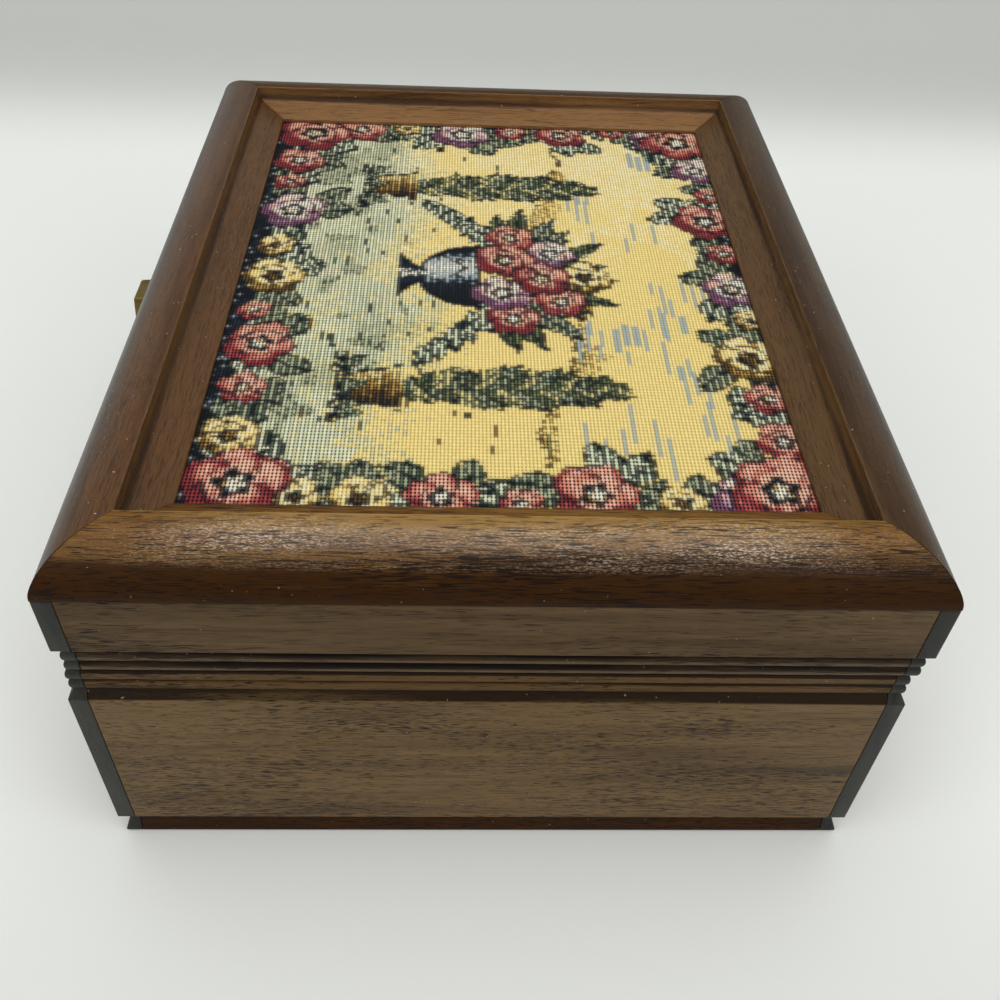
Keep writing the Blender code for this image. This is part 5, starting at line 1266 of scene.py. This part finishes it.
def makePull():
    # The frame's own casting with its edges rounded
    pull = dict(radius=0.00045, segments=3)
    work = bmesh.new()
    work.from_mesh(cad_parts["lid_pull"].data)
    bmesh.ops.remove_doubles(work, verts=work.verts, dist=1e-6)
    bmesh.ops.dissolve_limit(work, angle_limit=math.radians(1), verts=work.verts, edges=work.edges)
    bmesh.ops.bevel(work, geom=list(work.edges), offset=pull["radius"], segments=pull["segments"],
                    profile=0.5, affect="EDGES", clamp_overlap=True)
    bmesh.ops.recalc_face_normals(work, faces=work.faces)
    mesh = bpy.data.meshes.new("brass_pull")
    work.to_mesh(mesh)
    work.free()
    mesh.materials.clear()
    mesh.materials.append(materials["brass"])
    mesh.shade_smooth()
    mesh.set_sharp_from_angle(angle=math.radians(35))
    settle("brass_pull", mesh, "lid", ["lid_pull"])


makePull()

# Finishes of the pieces that stay as they are

finishes = {
    "brass": ["hinge_left_lower", "hinge_left_upper", "hinge_right_lower", "hinge_right_upper",
              "winding_key"],
    "brightBrass": ["spring_barrel", "barrel_bridge", "pinned_cylinder", "cylinder_gear", "worm_wheel",
                    "governor_fan", "governor_bracket"],
    "steel": ["hinge_left_pin", "hinge_right_pin", "winding_arbor", "cylinder_arbor", "idler_arbor",
              "governor_worm", "stop_wire", "comb", "comb_screw_1", "comb_screw_2"],
    "cast": ["bedplate"],
    "board": ["panel_board", "ring_platform"],
    "mirror": ["mirror"],
    "clear": ["dust_hood"],
    "panelX": ["bottom_board"],
}
for finish, names in finishes.items():
    for name in names:
        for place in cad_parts[name].material_slots:
            place.material = materials[finish]
print("frame pieces finished")

# Floor and light


def makeStage():
    # A paper sweep: level to the bend behind the box, then upright. Its colour is painted: paler round
    # the box where the floor is lit, a little darker as painted shade towards the camera, and grey as
    # painted shade over the far floor, the bend and the wall
    studio = dict(width=6.0, near=3.0, wallAt=-0.36, bend=0.12, wallTop=2.5, paper="#d9dcd7",
                  litPaper="#f6f8f4", shadedPaper="#c3c5c1", shadedFrom=-0.27, shadedTo=-0.42,
                  litFrom=0.1, litTo=0.26)
    turn = np.linspace(0, math.pi / 2, 13)
    profile = np.concatenate([[(studio["near"], 0.0)],
                              np.stack([studio["wallAt"] - studio["bend"] * np.sin(turn),
                                        studio["bend"] * (1 - np.cos(turn))], 1),
                              [(studio["wallAt"] - studio["bend"], studio["wallTop"])]])
    half = studio["width"] / 2
    rings = np.stack([np.stack([profile[:, 0], np.full(len(profile), y), profile[:, 1]], 1)
                      for y in (half, -half)])
    mesh = bpy.data.meshes.new("paper_sweep")
    mesh.from_pydata(rings.reshape(-1, 3).tolist(), [], gridFaces(2, len(profile)))
    mesh.shade_smooth()
    recipe = Recipe("paper", paint(studio["paper"]), 0.8)
    far = recipe.axis("X").between(studio["shadedTo"], studio["shadedFrom"])
    near = recipe.axis("X").between(studio["litFrom"], studio["litTo"])
    plain = recipe.mix(near, paint(studio["litPaper"]), paint(studio["paper"]))
    recipe.feed("Base Color", recipe.mix(far, paint(studio["shadedPaper"]), plain))
    mesh.materials.append(recipe.material)
    linked("paper_sweep", mesh)


def makeLight():
    skyStrength = 0.34
    world = bpy.data.worlds.new("studio")
    world.use_nodes = True
    background = world.node_tree.nodes["Background"].inputs
    background["Color"].default_value = (1.0, 1.0, 1.0, 1.0)
    background["Strength"].default_value = skyStrength
    bpy.context.scene.world = world
    lamps = (
        dict(name="ceiling", place=(-0.28, 0.0, 1.5), aim=(-0.28, 0.0, 0.1), size=1.5, power=14.6),
        dict(name="left_fill", place=(0.9, -1.2, 1.0), aim=(0.1, 0.0, 0.0), size=1.2, power=7.0),
        dict(name="right_fill", place=(0.9, 1.2, 1.0), aim=(0.1, 0.0, 0.0), size=1.2, power=7.0),
    )
    for lamp in lamps:
        light = bpy.data.lights.new(lamp["name"], "AREA")
        light.energy = lamp["power"]
        light.shape = "SQUARE"
        light.size = lamp["size"]
        made = linked(lamp["name"], light)
        made.location = lamp["place"]
        aim = Vector(lamp["aim"]) - made.location
        made.rotation_euler = aim.to_track_quat("-Z", "Y").to_euler()
    bpy.context.scene.view_settings.view_transform = "Standard"


makeStage()
makeLight()
print("stage and light made")
